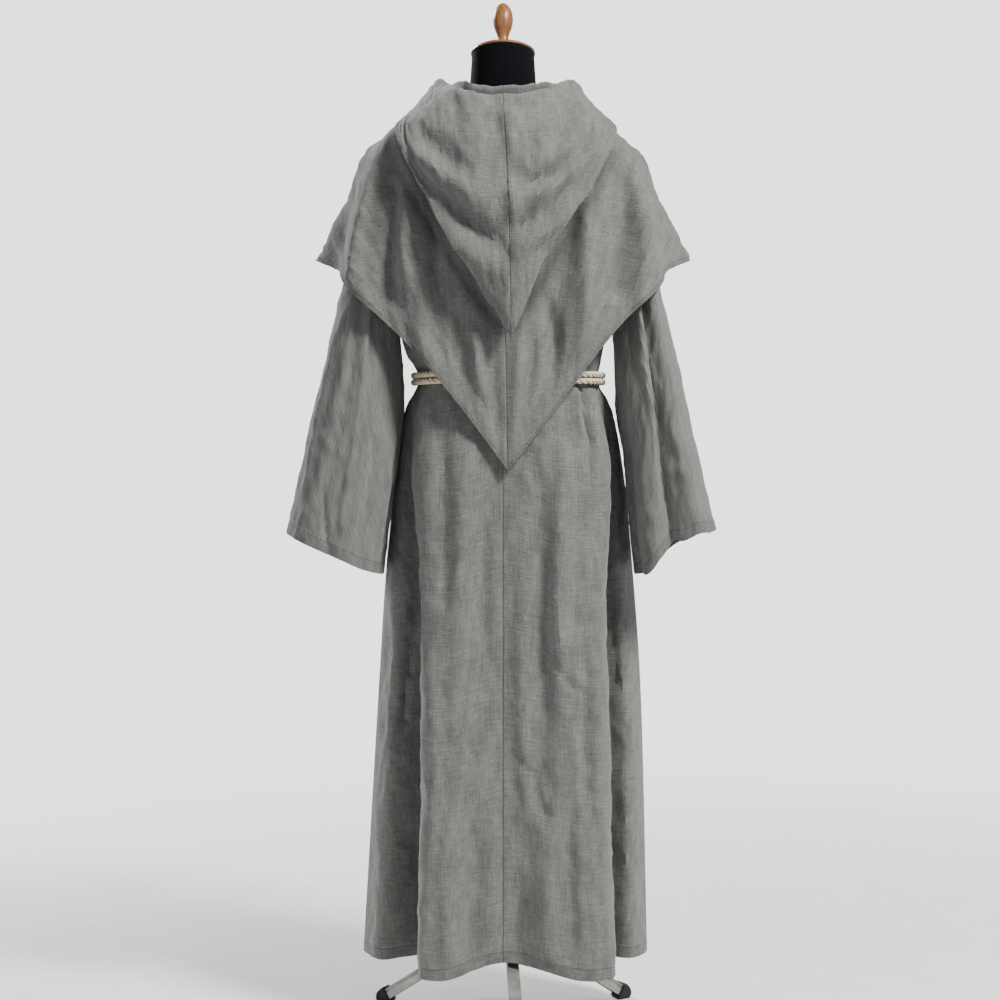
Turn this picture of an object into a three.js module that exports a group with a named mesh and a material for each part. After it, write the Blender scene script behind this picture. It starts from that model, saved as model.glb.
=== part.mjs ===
// A hooded monk habit on a limbless dress form, in millimetres, +Z up.
// The wearer's front faces -Y and the long pointed back of the cape faces +Y; +X is the wearer's left.
// Each cloth piece is a thin wall: a table gives the points of its main folds at a few sections,
// smooth curves run through them both ways, and the wall is the skin between those points and
// the same points moved in by the cloth's thickness.
import * as THREE from 'three';
import { mergeVertices } from 'three/addons/utils/BufferGeometryUtils.js';

// ---- driving dimensions -------------------------------------------------------------------------
const CLOTH = 2;                 // wall thickness of the linen with its turned seams
const SEAM = 0.3;                // gap left between two pieces that are sewn together
const POLE_Y = -28;              // the pole stands this far from the middle of the footprint
const ARMHOLE = { x: [180, 200], z: [1187, 1484], depth: 68, y: 0 };   // underarm to shoulder point
const ARMHOLE_GAP = 0.5;         // sleeve head to armhole edge
const ROPE = { r: 5.5, z: 1080, gap: 0.3, clear: 0.6, reach: 14 };
const ROPE_SIDES = 8;
const ROPE_END = { left: 520, right: 482, steps: 20 };   // length of each hanging end
const KNOT = { halfWidth: 21, halfDepth: 13, halfHeight: 19, nestle: 0.6 };
const END_KNOT = { r: 11, height: 26, tail: 22, gap: 1 };
const NECK_TOP = { z: 1627, tilt: THREE.MathUtils.degToRad(12.5), r: 52.5 };
const HUB = { r: 26, bottom: 128, top: 178, lower: 3, upper: 6 };   // lower and upper bevels
const POLE = { r: 12.5 };
const LEG = { slope: THREE.MathUtils.degToRad(33), width: 20, height: 19, wall: 2.5, top: 3, groove: 1 };
const FOOT = {
  r: 237, width: 25, legEnd: 231, centre: 12, toe: 251, half: 12, heel: 3, round: 8, height: 27,
};
const LEG_ANGLES = [94, 214, 334];     // degrees round the pole; the first points behind the wearer
const STAND_X = -10;             // the pole stands this far to the wearer's right of the neck

const COLOURS = {
  linen: { color: 0x777a76, roughness: 0.95, metalness: 0 },
  rope: { color: 0xcdc0a8, roughness: 0.9, metalness: 0 },
  cover: { color: 0x0c0d11, roughness: 0.85, metalness: 0 },
  wood: { color: 0xa57850, roughness: 0.4, metalness: 0 },
  metal: { color: 0x82827a, roughness: 0.4, metalness: 0.9 },
  rubber: { color: 0x0b0b0c, roughness: 0.8, metalness: 0 },
};

// ---- the robe: a row for each section, a column for each fold from centre back to side -----------
// from underarm to shoulder both back halves are alike
const BODICE_BACK = [
  { z: 1187, cb: [0, 112], crest: [68, 109], edge: [122, 92], recess: [150, 68], bulge: [170, 40] },
  { z: 1250, cb: [0, 112], crest: [68, 110], edge: [122, 98], recess: [150, 85], bulge: [172, 72] },
  { z: 1330, cb: [0, 110], crest: [66, 110], edge: [118, 100], recess: [148, 88],
    bulge: [174, 78] },
  { z: 1410, cb: [0, 102], crest: [62, 102], edge: [110, 94], recess: [145, 82], bulge: [175, 70] },
  { z: 1462, cb: [0, 88, 1474], crest: [56, 84, 1480], edge: [100, 66, 1488],
    recess: [136, 56, 1478], bulge: [172, 47, 1466] },
];
const ROBE_BACK_LEFT = [
  { z: 98, cb: [0, 108, 120], crest: [97, 140], edge: [134, 122], recess: [128, -44],
    bulge: [205, -4], side: [241, -70] },
  { z: 560, cb: [0, 120], crest: [86, 134], edge: [131, 116], recess: [132, -8],
    bulge: [184, 8], side: [214, -66] },
  { z: 760, cb: [0, 123], crest: [82, 129], edge: [133, 108], recess: [138, 8],
    bulge: [172, 14], side: [196, -62] },
  { z: 930, cb: [0, 122], crest: [80, 124], edge: [144, 95], recess: [150, 26],
    bulge: [163, 18], side: [175, -52] },
  { z: 1025, cb: [0, 112], crest: [70, 112], edge: [130, 84], recess: [146, 38],
    bulge: [155, 16], side: [159, -34] },
  { z: 1080, cb: [0, 104], crest: [62, 101], edge: [112, 79], recess: [128, 48],
    bulge: [136, 20], side: [139, -14] },
  { z: 1125, cb: [0, 109], crest: [66, 106], edge: [120, 86], recess: [144, 58],
    bulge: [158, 28], side: [165, -8] },
  ...BODICE_BACK,
];
const ROBE_BACK_RIGHT = [
  { z: 98, cb: [0, 108, 120], crest: [132, 140], edge: [181, 118], recess: [172, -40],
    bulge: [215, -12], side: [249, -70] },
  { z: 560, cb: [0, 120], crest: [110, 134], edge: [168, 112], recess: [172, -6],
    bulge: [206, 4], side: [237, -66] },
  { z: 760, cb: [0, 123], crest: [98, 129], edge: [164, 104], recess: [172, 8],
    bulge: [192, 8], side: [217, -64] },
  { z: 930, cb: [0, 122], crest: [94, 124], edge: [172, 90], recess: [174, 26],
    bulge: [184, 10], side: [197, -54] },
  { z: 1025, cb: [0, 112], crest: [80, 112], edge: [154, 76], recess: [165, 34],
    bulge: [171, 12], side: [175, -36] },
  { z: 1080, cb: [0, 104], crest: [68, 101], edge: [130, 75], recess: [150, 46],
    bulge: [157, 20], side: [160, -14] },
  { z: 1125, cb: [0, 109], crest: [68, 106], edge: [124, 86], recess: [148, 58],
    bulge: [162, 28], side: [169, -8] },
  ...BODICE_BACK,
];
// the front, from side to centre front: the same on both halves but for the side seam
const ROBE_FRONT = [
  { z: 98, flank: [212, -138], recess: [158, -104], edge: [138, -172], crest: [84, -192],
    cf: [0, -166, 108] },
  { z: 560, flank: [190, -120], recess: [149, -99], edge: [126, -153], crest: [74, -169], cf: [0, -158] },
  { z: 760, flank: [172, -108], recess: [143, -94], edge: [120, -142], crest: [68, -156], cf: [0, -150] },
  { z: 930, flank: [156, -88], recess: [136, -88], edge: [112, -126], crest: [62, -138], cf: [0, -138] },
  { z: 1025, flank: [146, -64], recess: [128, -80], edge: [104, -108], crest: [57, -121], cf: [0, -124] },
  { z: 1080, flank: [138, -46], recess: [116, -72], edge: [92, -89], crest: [52, -103], cf: [0, -108] },
  { z: 1125, flank: [158, -42], recess: [136, -74], edge: [106, -96], crest: [58, -111], cf: [0, -117] },
  { z: 1187, flank: [168, -44], recess: [142, -80], edge: [110, -104], crest: [60, -118], cf: [0, -124] },
  { z: 1250, flank: [172, -72], recess: [146, -92], edge: [112, -110], crest: [62, -122], cf: [0, -127] },
  { z: 1330, flank: [174, -78], recess: [146, -94], edge: [110, -110], crest: [60, -121], cf: [0, -124] },
  { z: 1410, flank: [174, -68], recess: [142, -82], edge: [106, -97], crest: [58, -108], cf: [0, -110] },
  { z: 1462, flank: [172, -47, 1466], recess: [136, -58, 1478], edge: [100, -70, 1486],
    crest: [56, -92, 1470], cf: [0, -96, 1460] },
];
// the last section: the neckline and the shoulder line, as points of their own
const SHOULDER_BACK = [
  [0, 72, 1518], [46, 58, 1527], [80, 12, 1538], [122, 2, 1526], [163, 2, 1507.5], [200, 2, 1484],
];
const SHOULDER_FRONT = [
  [200, -2, 1484], [163, -2, 1507.5], [122, -2, 1526], [80, -12, 1538], [46, -62, 1512], [0, -80, 1496],
];

// ---- sleeves: a row for each section from the armhole to the cuff ---------------------------------
// inner and outer are the lower and upper ends of the section seen from behind, as [x, z]
const SLEEVE_LEFT = [
  { inner: [176, 1165], outer: [221, 1442], depth: 71, y: -2 },
  { inner: [172, 1130], outer: [240, 1362], depth: 73, y: -4 },
  { inner: [169, 1085], outer: [259, 1280], depth: 78, y: -2 },
  { inner: [167, 1030], outer: [281, 1190], depth: 90, y: 2 },
  { inner: [173, 965], outer: [300, 1095], depth: 97, y: 6 },
  { inner: [184, 890], outer: [324, 995], depth: 104, y: 10 },
  { inner: [193, 820], outer: [345, 905], depth: 110, y: 12 },
  { inner: [200, 752], outer: [362, 822], depth: 116, y: 14 },
];
const SLEEVE_RIGHT = [
  { inner: [184, 1165], outer: [221, 1442], depth: 71, y: -2 },
  { inner: [188, 1130], outer: [240, 1362], depth: 73, y: -4 },
  { inner: [190, 1085], outer: [256, 1280], depth: 78, y: -2 },
  { inner: [192, 1030], outer: [275, 1190], depth: 90, y: 2 },
  { inner: [202, 965], outer: [297, 1095], depth: 97, y: 6 },
  { inner: [208, 890], outer: [317, 995], depth: 104, y: 10 },
  { inner: [214, 820], outer: [337, 905], depth: 110, y: 12 },
  { inner: [221, 752], outer: [355, 828], depth: 116, y: 14 },
];
// soft folds along a sleeve: where round the section, how wide, how deep at head and cuff, and how far
// the cuff's hem is lifted there
const SLEEVE_FOLDS_LEFT = [
  { at: 88, width: 16, head: 4, cuff: -13, lift: 0 },
  { at: 132, width: 20, head: 0, cuff: 6, lift: 0 },
  { at: 268, width: 18, head: -3, cuff: -11, lift: 0 },
  { at: 222, width: 18, head: 2, cuff: 7, lift: 0 },
];
const SLEEVE_FOLDS_RIGHT = [
  { at: 128, width: 13, head: 3, cuff: 9, lift: -6 },
  { at: 102, width: 17, head: -3, cuff: -14, lift: 24 },
  { at: 66, width: 26, head: 0, cuff: 3, lift: 16 },
  { at: 262, width: 18, head: -3, cuff: -12, lift: 0 },
  { at: 300, width: 20, head: 1, cuff: 6, lift: 0 },
];

// ---- cape: a row for each fold from centre back to centre front, a column for each level ----------
// drop is how much lower the right half's hem hangs there
const CAPE = [
  { drop: 4, neck: [0, 90, 1534], yoke: [0, 114, 1478], shoulder: [0, 126, 1390],
    arm: [0, 132, 1260], low: [-5, 134, 1090], hem: [-7, 138, 928] },
  { drop: 26, neck: [34, 84, 1537], yoke: [56, 106, 1484], shoulder: [66, 121, 1400],
    arm: [66, 131, 1290], low: [62, 128, 1150], hem: [57, 134, 1014] },
  { drop: 20, neck: [62, 66, 1542], yoke: [112, 84, 1490.5], shoulder: [126, 104, 1420],
    arm: [130, 118, 1325], low: [129, 122, 1215], hem: [126, 125, 1100] },
  { drop: 4, neck: [82, 40, 1547], yoke: [160, 56, 1498], shoulder: [188, 76, 1436],
    arm: [196, 96, 1352], low: [196, 102, 1262], hem: [196, 106, 1172] },
  { drop: 0, neck: [92, 18, 1550], yoke: [182, 30, 1498.4], shoulder: [221, 52, 1442],
    arm: [238, 78, 1362], low: [249, 88, 1294], hem: [257, 90, 1226] },
  { drop: 0, neck: [96, 4, 1551], yoke: [186, 6, 1499.4], shoulder: [229, 12, 1450],
    arm: [249, 16, 1378], low: [262, 18, 1322], hem: [276, 14, 1262] },
  { drop: 0, neck: [97, -10, 1550], yoke: [187, -14, 1500.4], shoulder: [238, -24, 1458],
    arm: [263, -38, 1396], low: [291, -50, 1342], hem: [322, -58, 1285] },
  { drop: 0, neck: [90, -42, 1540], yoke: [160, -62, 1488], shoulder: [208, -84, 1434],
    arm: [232, -104, 1374], low: [252, -118, 1322], hem: [274, -128, 1268] },
  { drop: 0, neck: [68, -70, 1528], yoke: [112, -98, 1472], shoulder: [134, -118, 1412],
    arm: [148, -130, 1346], low: [160, -138, 1278], hem: [172, -146, 1212] },
  { drop: 0, neck: [34, -88, 1516], yoke: [56, -112, 1460], shoulder: [66, -132, 1396],
    arm: [72, -142, 1324], low: [78, -146, 1248], hem: [84, -150, 1170] },
  { drop: 0, neck: [0, -95, 1508], yoke: [0, -116, 1450], shoulder: [0, -136, 1382],
    arm: [0, -146, 1306], low: [0, -150, 1226], hem: [0, -152, 1144] },
];
const CAPE_RIGHT_WIDER = 0.998;

// ---- hood, pushed back into a pouch: a row for each line from the front edge over the rim, down the
// outside to the folded edge and back up beneath to the neck seam; rows run from centre back to front
const HOOD = [
  { edge: [0, 68, 1532], inner: [0, 75, 1562], rim: [0, 116, 1543], high: [-2, 148, 1490],
    mid: [-7, 178, 1400], low: [-11, 188, 1280], fold: [-12, 164, 1141],
    under: [-8, 150, 1255], back: [-4, 145, 1380], seam: [0, 100, 1525] },
  { edge: [32, 62, 1533], inner: [38, 70, 1562], rim: [46, 112, 1545],
    high: [50, 146, 1494], mid: [54, 174, 1420], low: [60, 182, 1340], fold: [66, 166, 1268],
    under: [54, 150, 1320], back: [44, 138, 1420], seam: [38, 96, 1528] },
  { edge: [52, 44, 1536], inner: [62, 52, 1570], rim: [80, 84, 1558], high: [94, 122, 1512],
    mid: [112, 148, 1456], low: [124, 158, 1412], fold: [132, 147, 1380],
    under: [104, 134, 1418.3], back: [82, 118, 1472.3], seam: [66, 78, 1537] },
  { edge: [67, 24, 1544], inner: [80, 26, 1576], rim: [102, 42, 1575],
    high: [121, 68, 1545], mid: [147, 98, 1501], low: [163, 112, 1474],
    fold: [168, 114, 1454], under: [140, 98, 1472.3], back: [114, 78, 1510.3], seam: [84, 52, 1545] },
  { edge: [70, 2, 1546], inner: [94, 4, 1578], rim: [112, 10, 1576], high: [130, 16, 1556],
    mid: [151, 26, 1533], low: [170, 36, 1518], fold: [184, 42, 1511], under: [158, 36, 1519.3],
    back: [132, 26, 1533.3], seam: [100, 12, 1557] },
  { edge: [70, -34, 1543], inner: [86, -34, 1568], rim: [101, -38, 1567],
    high: [112, -42, 1556], mid: [123, -46, 1543], low: [132, -50, 1532],
    fold: [134, -54, 1525], under: [122, -52, 1529.3], back: [110, -50, 1535.3],
    seam: [96, -44, 1546] },
  { edge: [38, -58, 1508], inner: [52, -72, 1544], rim: [62, -82, 1546],
    high: [68, -88, 1538], mid: [74, -92, 1528], low: [78, -98, 1516], fold: [78, -100, 1508],
    under: [74, -96, 1512], back: [69, -90, 1519], seam: [62, -82, 1528] },
  { edge: [0, -70, 1490], inner: [0, -86, 1528], rim: [0, -96, 1532], high: [0, -103, 1522],
    mid: [0, -109, 1510], low: [0, -114, 1500], fold: [0, -114, 1492], under: [0, -109, 1496],
    back: [0, -104, 1503], seam: [0, -98, 1512] },
];
const HOOD_RIGHT_WIDER = 1.05;

// ---- rope end: how far down, how far from the middle and how far out from the knot it hangs ----------
const ROPE_FALL = [
  { share: 0, x: 7, out: 0 },
  { share: 0.03, x: 7.6, out: 0.6 },
  { share: 0.06, x: 9, out: 2 },
  { share: 0.1, x: 10.6, out: 4.4 },
  { share: 0.15, x: 12, out: 7.4 },
  { share: 0.2, x: 13, out: 10 },
  { share: 0.27, x: 14.2, out: 13.8 },
  { share: 0.34, x: 15.2, out: 17.2 },
  { share: 0.41, x: 15.8, out: 20.2 },
  { share: 0.48, x: 16.3, out: 23.2 },
  { share: 0.56, x: 16.8, out: 26.4 },
  { share: 0.64, x: 17.4, out: 29.4 },
  { share: 0.72, x: 18, out: 32.2 },
  { share: 0.81, x: 18.5, out: 35.6 },
  { share: 0.9, x: 18.8, out: 38.8 },
  { share: 1, x: 19, out: 42 },
];

// ---- dress form: a row for each level, as half width, half depth and middle ------------------------
const FORM = [
  { z: 822, w: 118, d: 88, y: -6 },
  { z: 830, w: 128, d: 96, y: -6 },
  { z: 890, w: 134, d: 102, y: -5 },
  { z: 960, w: 131, d: 98, y: -4 },
  { z: 1030, w: 117, d: 88, y: -3 },
  { z: 1085, w: 108, d: 80, y: -3 },
  { z: 1150, w: 116, d: 88, y: -4 },
  { z: 1250, w: 136, d: 100, y: -6 },
  { z: 1330, w: 152, d: 98, y: -4 },
  { z: 1400, w: 166, d: 88, y: 0 },
  { z: 1450, w: 176, d: 68, y: 1 },
  { z: 1480, w: 174, d: 50, y: 1 },
  { z: 1501.5, w: 158, d: 38, y: 1 },
  { z: 1518, w: 120, d: 42, y: 1 },
  { z: 1528, w: 76, d: 50, y: 1 },
  { z: 1547, w: 60, d: 55, y: 0 },
  { z: 1590, w: 55, d: 54, y: 0 },
];

// ---- turned pieces on the neck, as radius and height over the neck's top ------------------------------
const CAP_PROFILE = [
  [0, SEAM], [53, SEAM], [54.5, 2], [54, 5], [50, 7.5], [34, 9.5], [14, 10.5], [0, 10.5],
];
const FINIAL_PROFILE = [
  [0, 10.8], [13, 10.8], [13.5, 13], [11, 18], [9.4, 26], [9.4, 32], [11.5, 40], [15, 50],
  [17, 61], [16.8, 70], [14.5, 80], [10, 88], [4.5, 93], [0, 94],
];

// ---- curves and walls ------------------------------------------------------------------------------
const vec = (x, y, z) => new THREE.Vector3(x, y, z);
const lerp = THREE.MathUtils.lerp;

// points along the smooth curve through the given ones, some for each span
function smooth(points, perSpan) {
  const curve = new THREE.CatmullRomCurve3(points);
  return curve.getPoints((points.length - 1) * perSpan);
}

// a net of points from its lengthwise lines, with smooth curves across them
function net(lines, acrossSpan) {
  return lines[0].map((_, i) => smooth(lines.map((line) => line[i]), acrossSpan));
}

function normalsOf(points, closed) {
  const rows = points.length;
  const cols = points[0].length;
  return points.map((row, i) => row.map((_, j) => {
    const up = points[Math.min(i + 1, rows - 1)][j];
    const down = points[Math.max(i - 1, 0)][j];
    const next = closed ? row[(j + 1) % cols] : row[Math.min(j + 1, cols - 1)];
    const last = closed ? row[(j + cols - 1) % cols] : row[Math.max(j - 1, 0)];
    return up.clone().sub(down).cross(next.clone().sub(last)).normalize();
  }));
}

function closedBody(vertices, triangles) {
  const geometry = new THREE.BufferGeometry();
  let volume = 0;
  for (const [a, b, c] of triangles) {
    volume += vertices[a].dot(vertices[b].clone().cross(vertices[c]));
  }
  const outward = volume > 0 ? triangles : triangles.map(([a, b, c]) => [a, c, b]);
  const numbers = vertices.flatMap((v) => v.toArray());
  geometry.setAttribute('position', new THREE.Float32BufferAttribute(numbers, 3));
  geometry.setIndex(outward.flat());
  geometry.computeVertexNormals();
  return geometry;
}

// the wall between a net and the same net moved along its normals; side is 1 or -1 and says which
// way is in, and a free edge keeps to its seam plane where flat names that plane's axis
function wall(points, { side = 1, closed = false, flat = {} } = {}) {
  const rows = points.length;
  const cols = points[0].length;
  const normals = normalsOf(points, closed);
  const shift = (i, j) => {
    const step = normals[i][j].clone().multiplyScalar(side * CLOTH);
    const axes = [j === 0 && flat.start, j === cols - 1 && flat.end, i === 0 && flat.first,
      i === rows - 1 && flat.last];
    axes.filter(Boolean).forEach((axis) => { step[axis] = 0; });
    return step.setLength(CLOTH);
  };
  const inner = points.map((row, i) => row.map((p, j) => p.clone().sub(shift(i, j))));
  const vertices = [...points.flat(), ...inner.flat()];
  const out = (i, j) => i * cols + (j % cols);
  const inn = (i, j) => rows * cols + out(i, j);
  const triangles = [];
  const quad = (a, b, c, d) => triangles.push([a, b, c], [a, c, d]);
  const lastCol = closed ? cols : cols - 1;
  for (let j = 0; j < lastCol; j += 1) {
    for (let i = 0; i < rows - 1; i += 1) {
      quad(out(i, j), out(i + 1, j), out(i + 1, j + 1), out(i, j + 1));
      quad(inn(i, j), inn(i, j + 1), inn(i + 1, j + 1), inn(i + 1, j));
    }
    quad(out(0, j), out(0, j + 1), inn(0, j + 1), inn(0, j));
    quad(out(rows - 1, j), inn(rows - 1, j), inn(rows - 1, j + 1), out(rows - 1, j + 1));
  }
  if (!closed) {
    for (let i = 0; i < rows - 1; i += 1) {
      quad(out(i, 0), inn(i, 0), inn(i + 1, 0), out(i + 1, 0));
      quad(out(i, cols - 1), out(i + 1, cols - 1), inn(i + 1, cols - 1), inn(i, cols - 1));
    }
  }
  return closedBody(vertices, triangles);
}

// a whole body through closed rings, with a flat end at each
function loft(rings) {
  const count = rings[0].length;
  const vertices = rings.flat();
  const triangles = [];
  const at = (i, j) => i * count + (j % count);
  const middle = (ring) => ring.reduce((sum, p) => sum.add(p), vec(0, 0, 0)).divideScalar(count);
  const ends = [vertices.length, vertices.length + 1];
  vertices.push(middle(rings[0]), middle(rings.at(-1)));
  for (let j = 0; j < count; j += 1) {
    for (let i = 0; i < rings.length - 1; i += 1) {
      triangles.push([at(i, j), at(i + 1, j), at(i + 1, j + 1)]);
      triangles.push([at(i, j), at(i + 1, j + 1), at(i, j + 1)]);
    }
    triangles.push([ends[0], at(0, j), at(0, j + 1)]);
    triangles.push([ends[1], at(rings.length - 1, j + 1), at(rings.length - 1, j)]);
  }
  return closedBody(vertices, triangles);
}

// ---- the robe ----------------------------------------------------------------------------------------
const ROBE_ALONG = 2;            // steps between two sections
const ROBE_ACROSS = 3;           // steps between two folds

// a point of the armhole's edge at a height; half is 1 on the back and -1 on the front
function armholeEdge(z, half) {
  const [low, high] = ARMHOLE.z;
  const share = THREE.MathUtils.clamp((z - low) / (high - low), 0, 1);
  const across = Math.sqrt(Math.max(0, 1 - (2 * share - 1) ** 2));
  const least = SEAM / 2;
  return vec(lerp(...ARMHOLE.x, share), half * Math.max(least, ARMHOLE.depth * across), z);
}

// one fold's line from hem to shoulder; a section may give a height of its own at that fold
function foldLine(table, fold, last, seamX = 0) {
  const line = table.map((row) => {
    const [x, y, z = row.z] = row[fold];
    return vec(Math.max(x, seamX), y, z);
  });
  return smooth([...line, vec(Math.max(last[0], seamX), last[1], last[2])], ROBE_ALONG);
}

// the side: the seam up to the underarm, then the armhole's edge to the shoulder point
function sideLine(table, last, half) {
  const sewn = table.filter((row) => row.side);
  const underarm = armholeEdge(ARMHOLE.z[0], half);
  const points = sewn.map((row) => vec(row.side[0], row.side[1], row.z));
  const seam = smooth([...points, vec(underarm.x, 0, underarm.z)], ROBE_ALONG);
  seam.forEach((p) => { p.y += half * SEAM / 2; });
  const heights = [...table.filter((row) => !row.side).map((row) => row.z), ARMHOLE.z[1]];
  const edge = heights.slice(1).flatMap((z, i) => Array.from({ length: ROBE_ALONG }, (_, k) => (
    armholeEdge(lerp(heights[i], z, (k + 1) / ROBE_ALONG), half)
  )));
  edge.at(-1).copy(vec(...last));
  return [...seam, ...edge];
}

function mirrored(rows) {
  return rows.map((row) => row.map((p) => vec(-p.x, p.y, p.z)));
}

function robeBackNet(table) {
  const folds = ['cb', 'crest', 'edge', 'recess', 'bulge'];
  const lines = folds.map((fold, i) => foldLine(table, fold, SHOULDER_BACK[i], SEAM / 2));
  lines.push(sideLine(table, SHOULDER_BACK.at(-1), 1));
  return net(lines, ROBE_ACROSS);
}

// the front runs from the left side seam over centre front to the right one
function robeFrontNet() {
  const folds = ['flank', 'recess', 'edge', 'crest', 'cf'];
  const half = (backTable) => [
    sideLine(backTable, SHOULDER_FRONT[0], -1),
    ...folds.map((fold, i) => foldLine(ROBE_FRONT, fold, SHOULDER_FRONT[i + 1])),
  ];
  const left = half(ROBE_BACK_LEFT);
  const right = mirrored(half(ROBE_BACK_RIGHT)).reverse().slice(1);
  return net([...left, ...right], ROBE_ACROSS);
}

// ---- sleeves -----------------------------------------------------------------------------------------
const SLEEVE_AROUND = 24;
const SLEEVE_ALONG = 1.5;

function sleeveNet(table, folds) {
  const sections = [
    { inner: [ARMHOLE.x[0] + ARMHOLE_GAP, ARMHOLE.z[0]], outer: [ARMHOLE.x[1] + ARMHOLE_GAP, ARMHOLE.z[1]],
      depth: ARMHOLE.depth, y: ARMHOLE.y },
    ...table,
  ];
  const steps = Math.round((sections.length - 1) * SLEEVE_ALONG);
  const line = (pick) => new THREE.CatmullRomCurve3(sections.map(pick)).getPoints(steps);
  const inner = line((s) => vec(s.inner[0], s.y, s.inner[1]));
  const outer = line((s) => vec(s.outer[0], s.y, s.outer[1]));
  const depth = line((s) => vec(s.depth, 0, s.outer[1]));
  return inner.map((low, i) => {
    const share = i / steps;
    const middle = low.clone().add(outer[i]).multiplyScalar(0.5);
    const across = outer[i].clone().sub(low).multiplyScalar(0.5);
    return Array.from({ length: SLEEVE_AROUND }, (_, j) => {
      const angle = (j / SLEEVE_AROUND) * 360;
      const turn = THREE.MathUtils.degToRad(angle);
      const near = (fold) => {
        const off = THREE.MathUtils.euclideanModulo(angle - fold.at + 180, 360) - 180;
        return Math.exp(-((off / fold.width) ** 2));
      };
      const grown = Math.min(1, share * 3);
      const total = (height) => folds.reduce((sum, fold) => sum + near(fold) * height(fold), 0);
      const out = grown * total((fold) => lerp(fold.head, fold.cuff, share));
      const lift = share ** 4 * total((fold) => fold.lift);
      const point = middle.clone().addScaledVector(across, Math.cos(turn));
      point.y += Math.sin(turn) * depth[i].x;
      point.z += lift;
      const away = across.clone().normalize().multiplyScalar(Math.cos(turn));
      away.y = Math.sin(turn);
      return point.addScaledVector(away, out);
    });
  });
}

// ---- cape and hood -----------------------------------------------------------------------------------
const CAPE_ALONG = 2;
const CAPE_ACROSS = 2;
const HOOD_ALONG = 2;
const HOOD_ACROSS = 2;

// the right half is the left one mirrored and a little wider; the tip's own offset stays where it is
function halfNet(table, levels, wider, right, alongSpan, acrossSpan) {
  const lines = table.map((row, i) => smooth(levels.map((level) => {
    const [x, y, z] = row[level];
    const centre = i === 0 || i === table.length - 1;
    const gap = right ? -SEAM / 2 : SEAM / 2;
    const down = right && level === 'hem' ? row.drop : 0;
    return vec(centre ? x + gap : (right ? -x * wider : x), y, z - down);
  }), alongSpan));
  return net(lines, acrossSpan);
}

const CAPE_LEVELS = ['neck', 'yoke', 'shoulder', 'arm', 'low', 'hem'];
const HOOD_LEVELS = ['edge', 'inner', 'rim', 'high', 'mid', 'low', 'fold', 'under', 'back', 'seam'];
const capeNet = (right) => (
  halfNet(CAPE, CAPE_LEVELS, CAPE_RIGHT_WIDER, right, CAPE_ALONG, CAPE_ACROSS)
);
const hoodNet = (right) => (
  halfNet(HOOD, HOOD_LEVELS, HOOD_RIGHT_WIDER, right, HOOD_ALONG, HOOD_ACROSS)
);

// ---- rope belt ---------------------------------------------------------------------------------------
const ROPE_STEPS = 42;

// the waist's outline with its hollows bridged, as a rope drawn tight lies on it
function bridged(points) {
  const cross = (o, a, b) => (a.x - o.x) * (b.y - o.y) - (a.y - o.y) * (b.x - o.x);
  const sorted = [...points].sort((a, b) => a.x - b.x || a.y - b.y);
  const chain = (list) => list.reduce((hull, p) => {
    while (hull.length > 1 && cross(hull.at(-2), hull.at(-1), p) <= 0) hull.pop();
    hull.push(p);
    return hull;
  }, []).slice(0, -1);
  return [...chain(sorted), ...chain([...sorted].reverse())];
}

// the robe's points at the belt, and a little above and below it
function waistOutline() {
  const at = ROBE_BACK_LEFT.findIndex((row) => row.z === ROPE.z) * ROBE_ALONG;
  const nets = [robeBackNet(ROBE_BACK_LEFT), robeFrontNet(), mirrored(robeBackNet(ROBE_BACK_RIGHT))];
  return nets.flatMap((rows) => [at - 1, at, at + 1].flatMap((i) => rows[i].map((p, j) => {
    const middle = rows[at][j];
    const rise = Math.abs(p.z - middle.z);
    return middle.clone().lerp(p, rise ? Math.min(1, ROPE.reach / rise) : 0);
  })));
}

function ropeTurn(outline, z) {
  const out = ROPE.r + ROPE.clear;
  const pushed = outline.map((p, i) => {
    const before = outline[(i + outline.length - 1) % outline.length];
    const after = outline[(i + 1) % outline.length];
    const along = after.clone().sub(before);
    return vec(p.x + along.y / along.length() * out, p.y - along.x / along.length() * out, z);
  });
  const route = new THREE.CatmullRomCurve3(pushed, true);
  const section = new THREE.Shape().absarc(0, 0, ROPE.r, 0, 2 * Math.PI);
  const frames = route.computeFrenetFrames(ROPE_STEPS, true);
  const rings = Array.from({ length: ROPE_STEPS }, (_, i) => {
    const middle = route.getPointAt(i / ROPE_STEPS);
    return Array.from({ length: ROPE_SIDES }, (_spot, j) => {
      const { x, y } = section.getPoint(j / ROPE_SIDES);
      return middle.clone().addScaledVector(frames.normals[i], x).addScaledVector(frames.binormals[i], y);
    });
  });
  return torus(rings);
}

// a whole body through rings that meet again at the start
function torus(rings) {
  const sides = rings[0].length;
  const at = (i, j) => (i % rings.length) * sides + (j % sides);
  const triangles = [];
  rings.forEach((_, i) => {
    for (let j = 0; j < sides; j += 1) {
      triangles.push([at(i, j), at(i + 1, j), at(i + 1, j + 1)]);
      triangles.push([at(i, j), at(i + 1, j + 1), at(i, j + 1)]);
    }
  });
  return closedBody(rings.flat(), triangles);
}

// ---- the object --------------------------------------------------------------------------------------
const habit = new THREE.Group();
habit.position.y = POLE_Y;
const stand = new THREE.Group();
stand.position.x = STAND_X;
habit.add(stand);

function add(name, geometry, look, parent = habit) {
  const mesh = new THREE.Mesh(geometry, new THREE.MeshStandardMaterial(COLOURS[look]));
  mesh.name = name;
  parent.add(mesh);
  return mesh;
}

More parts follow.
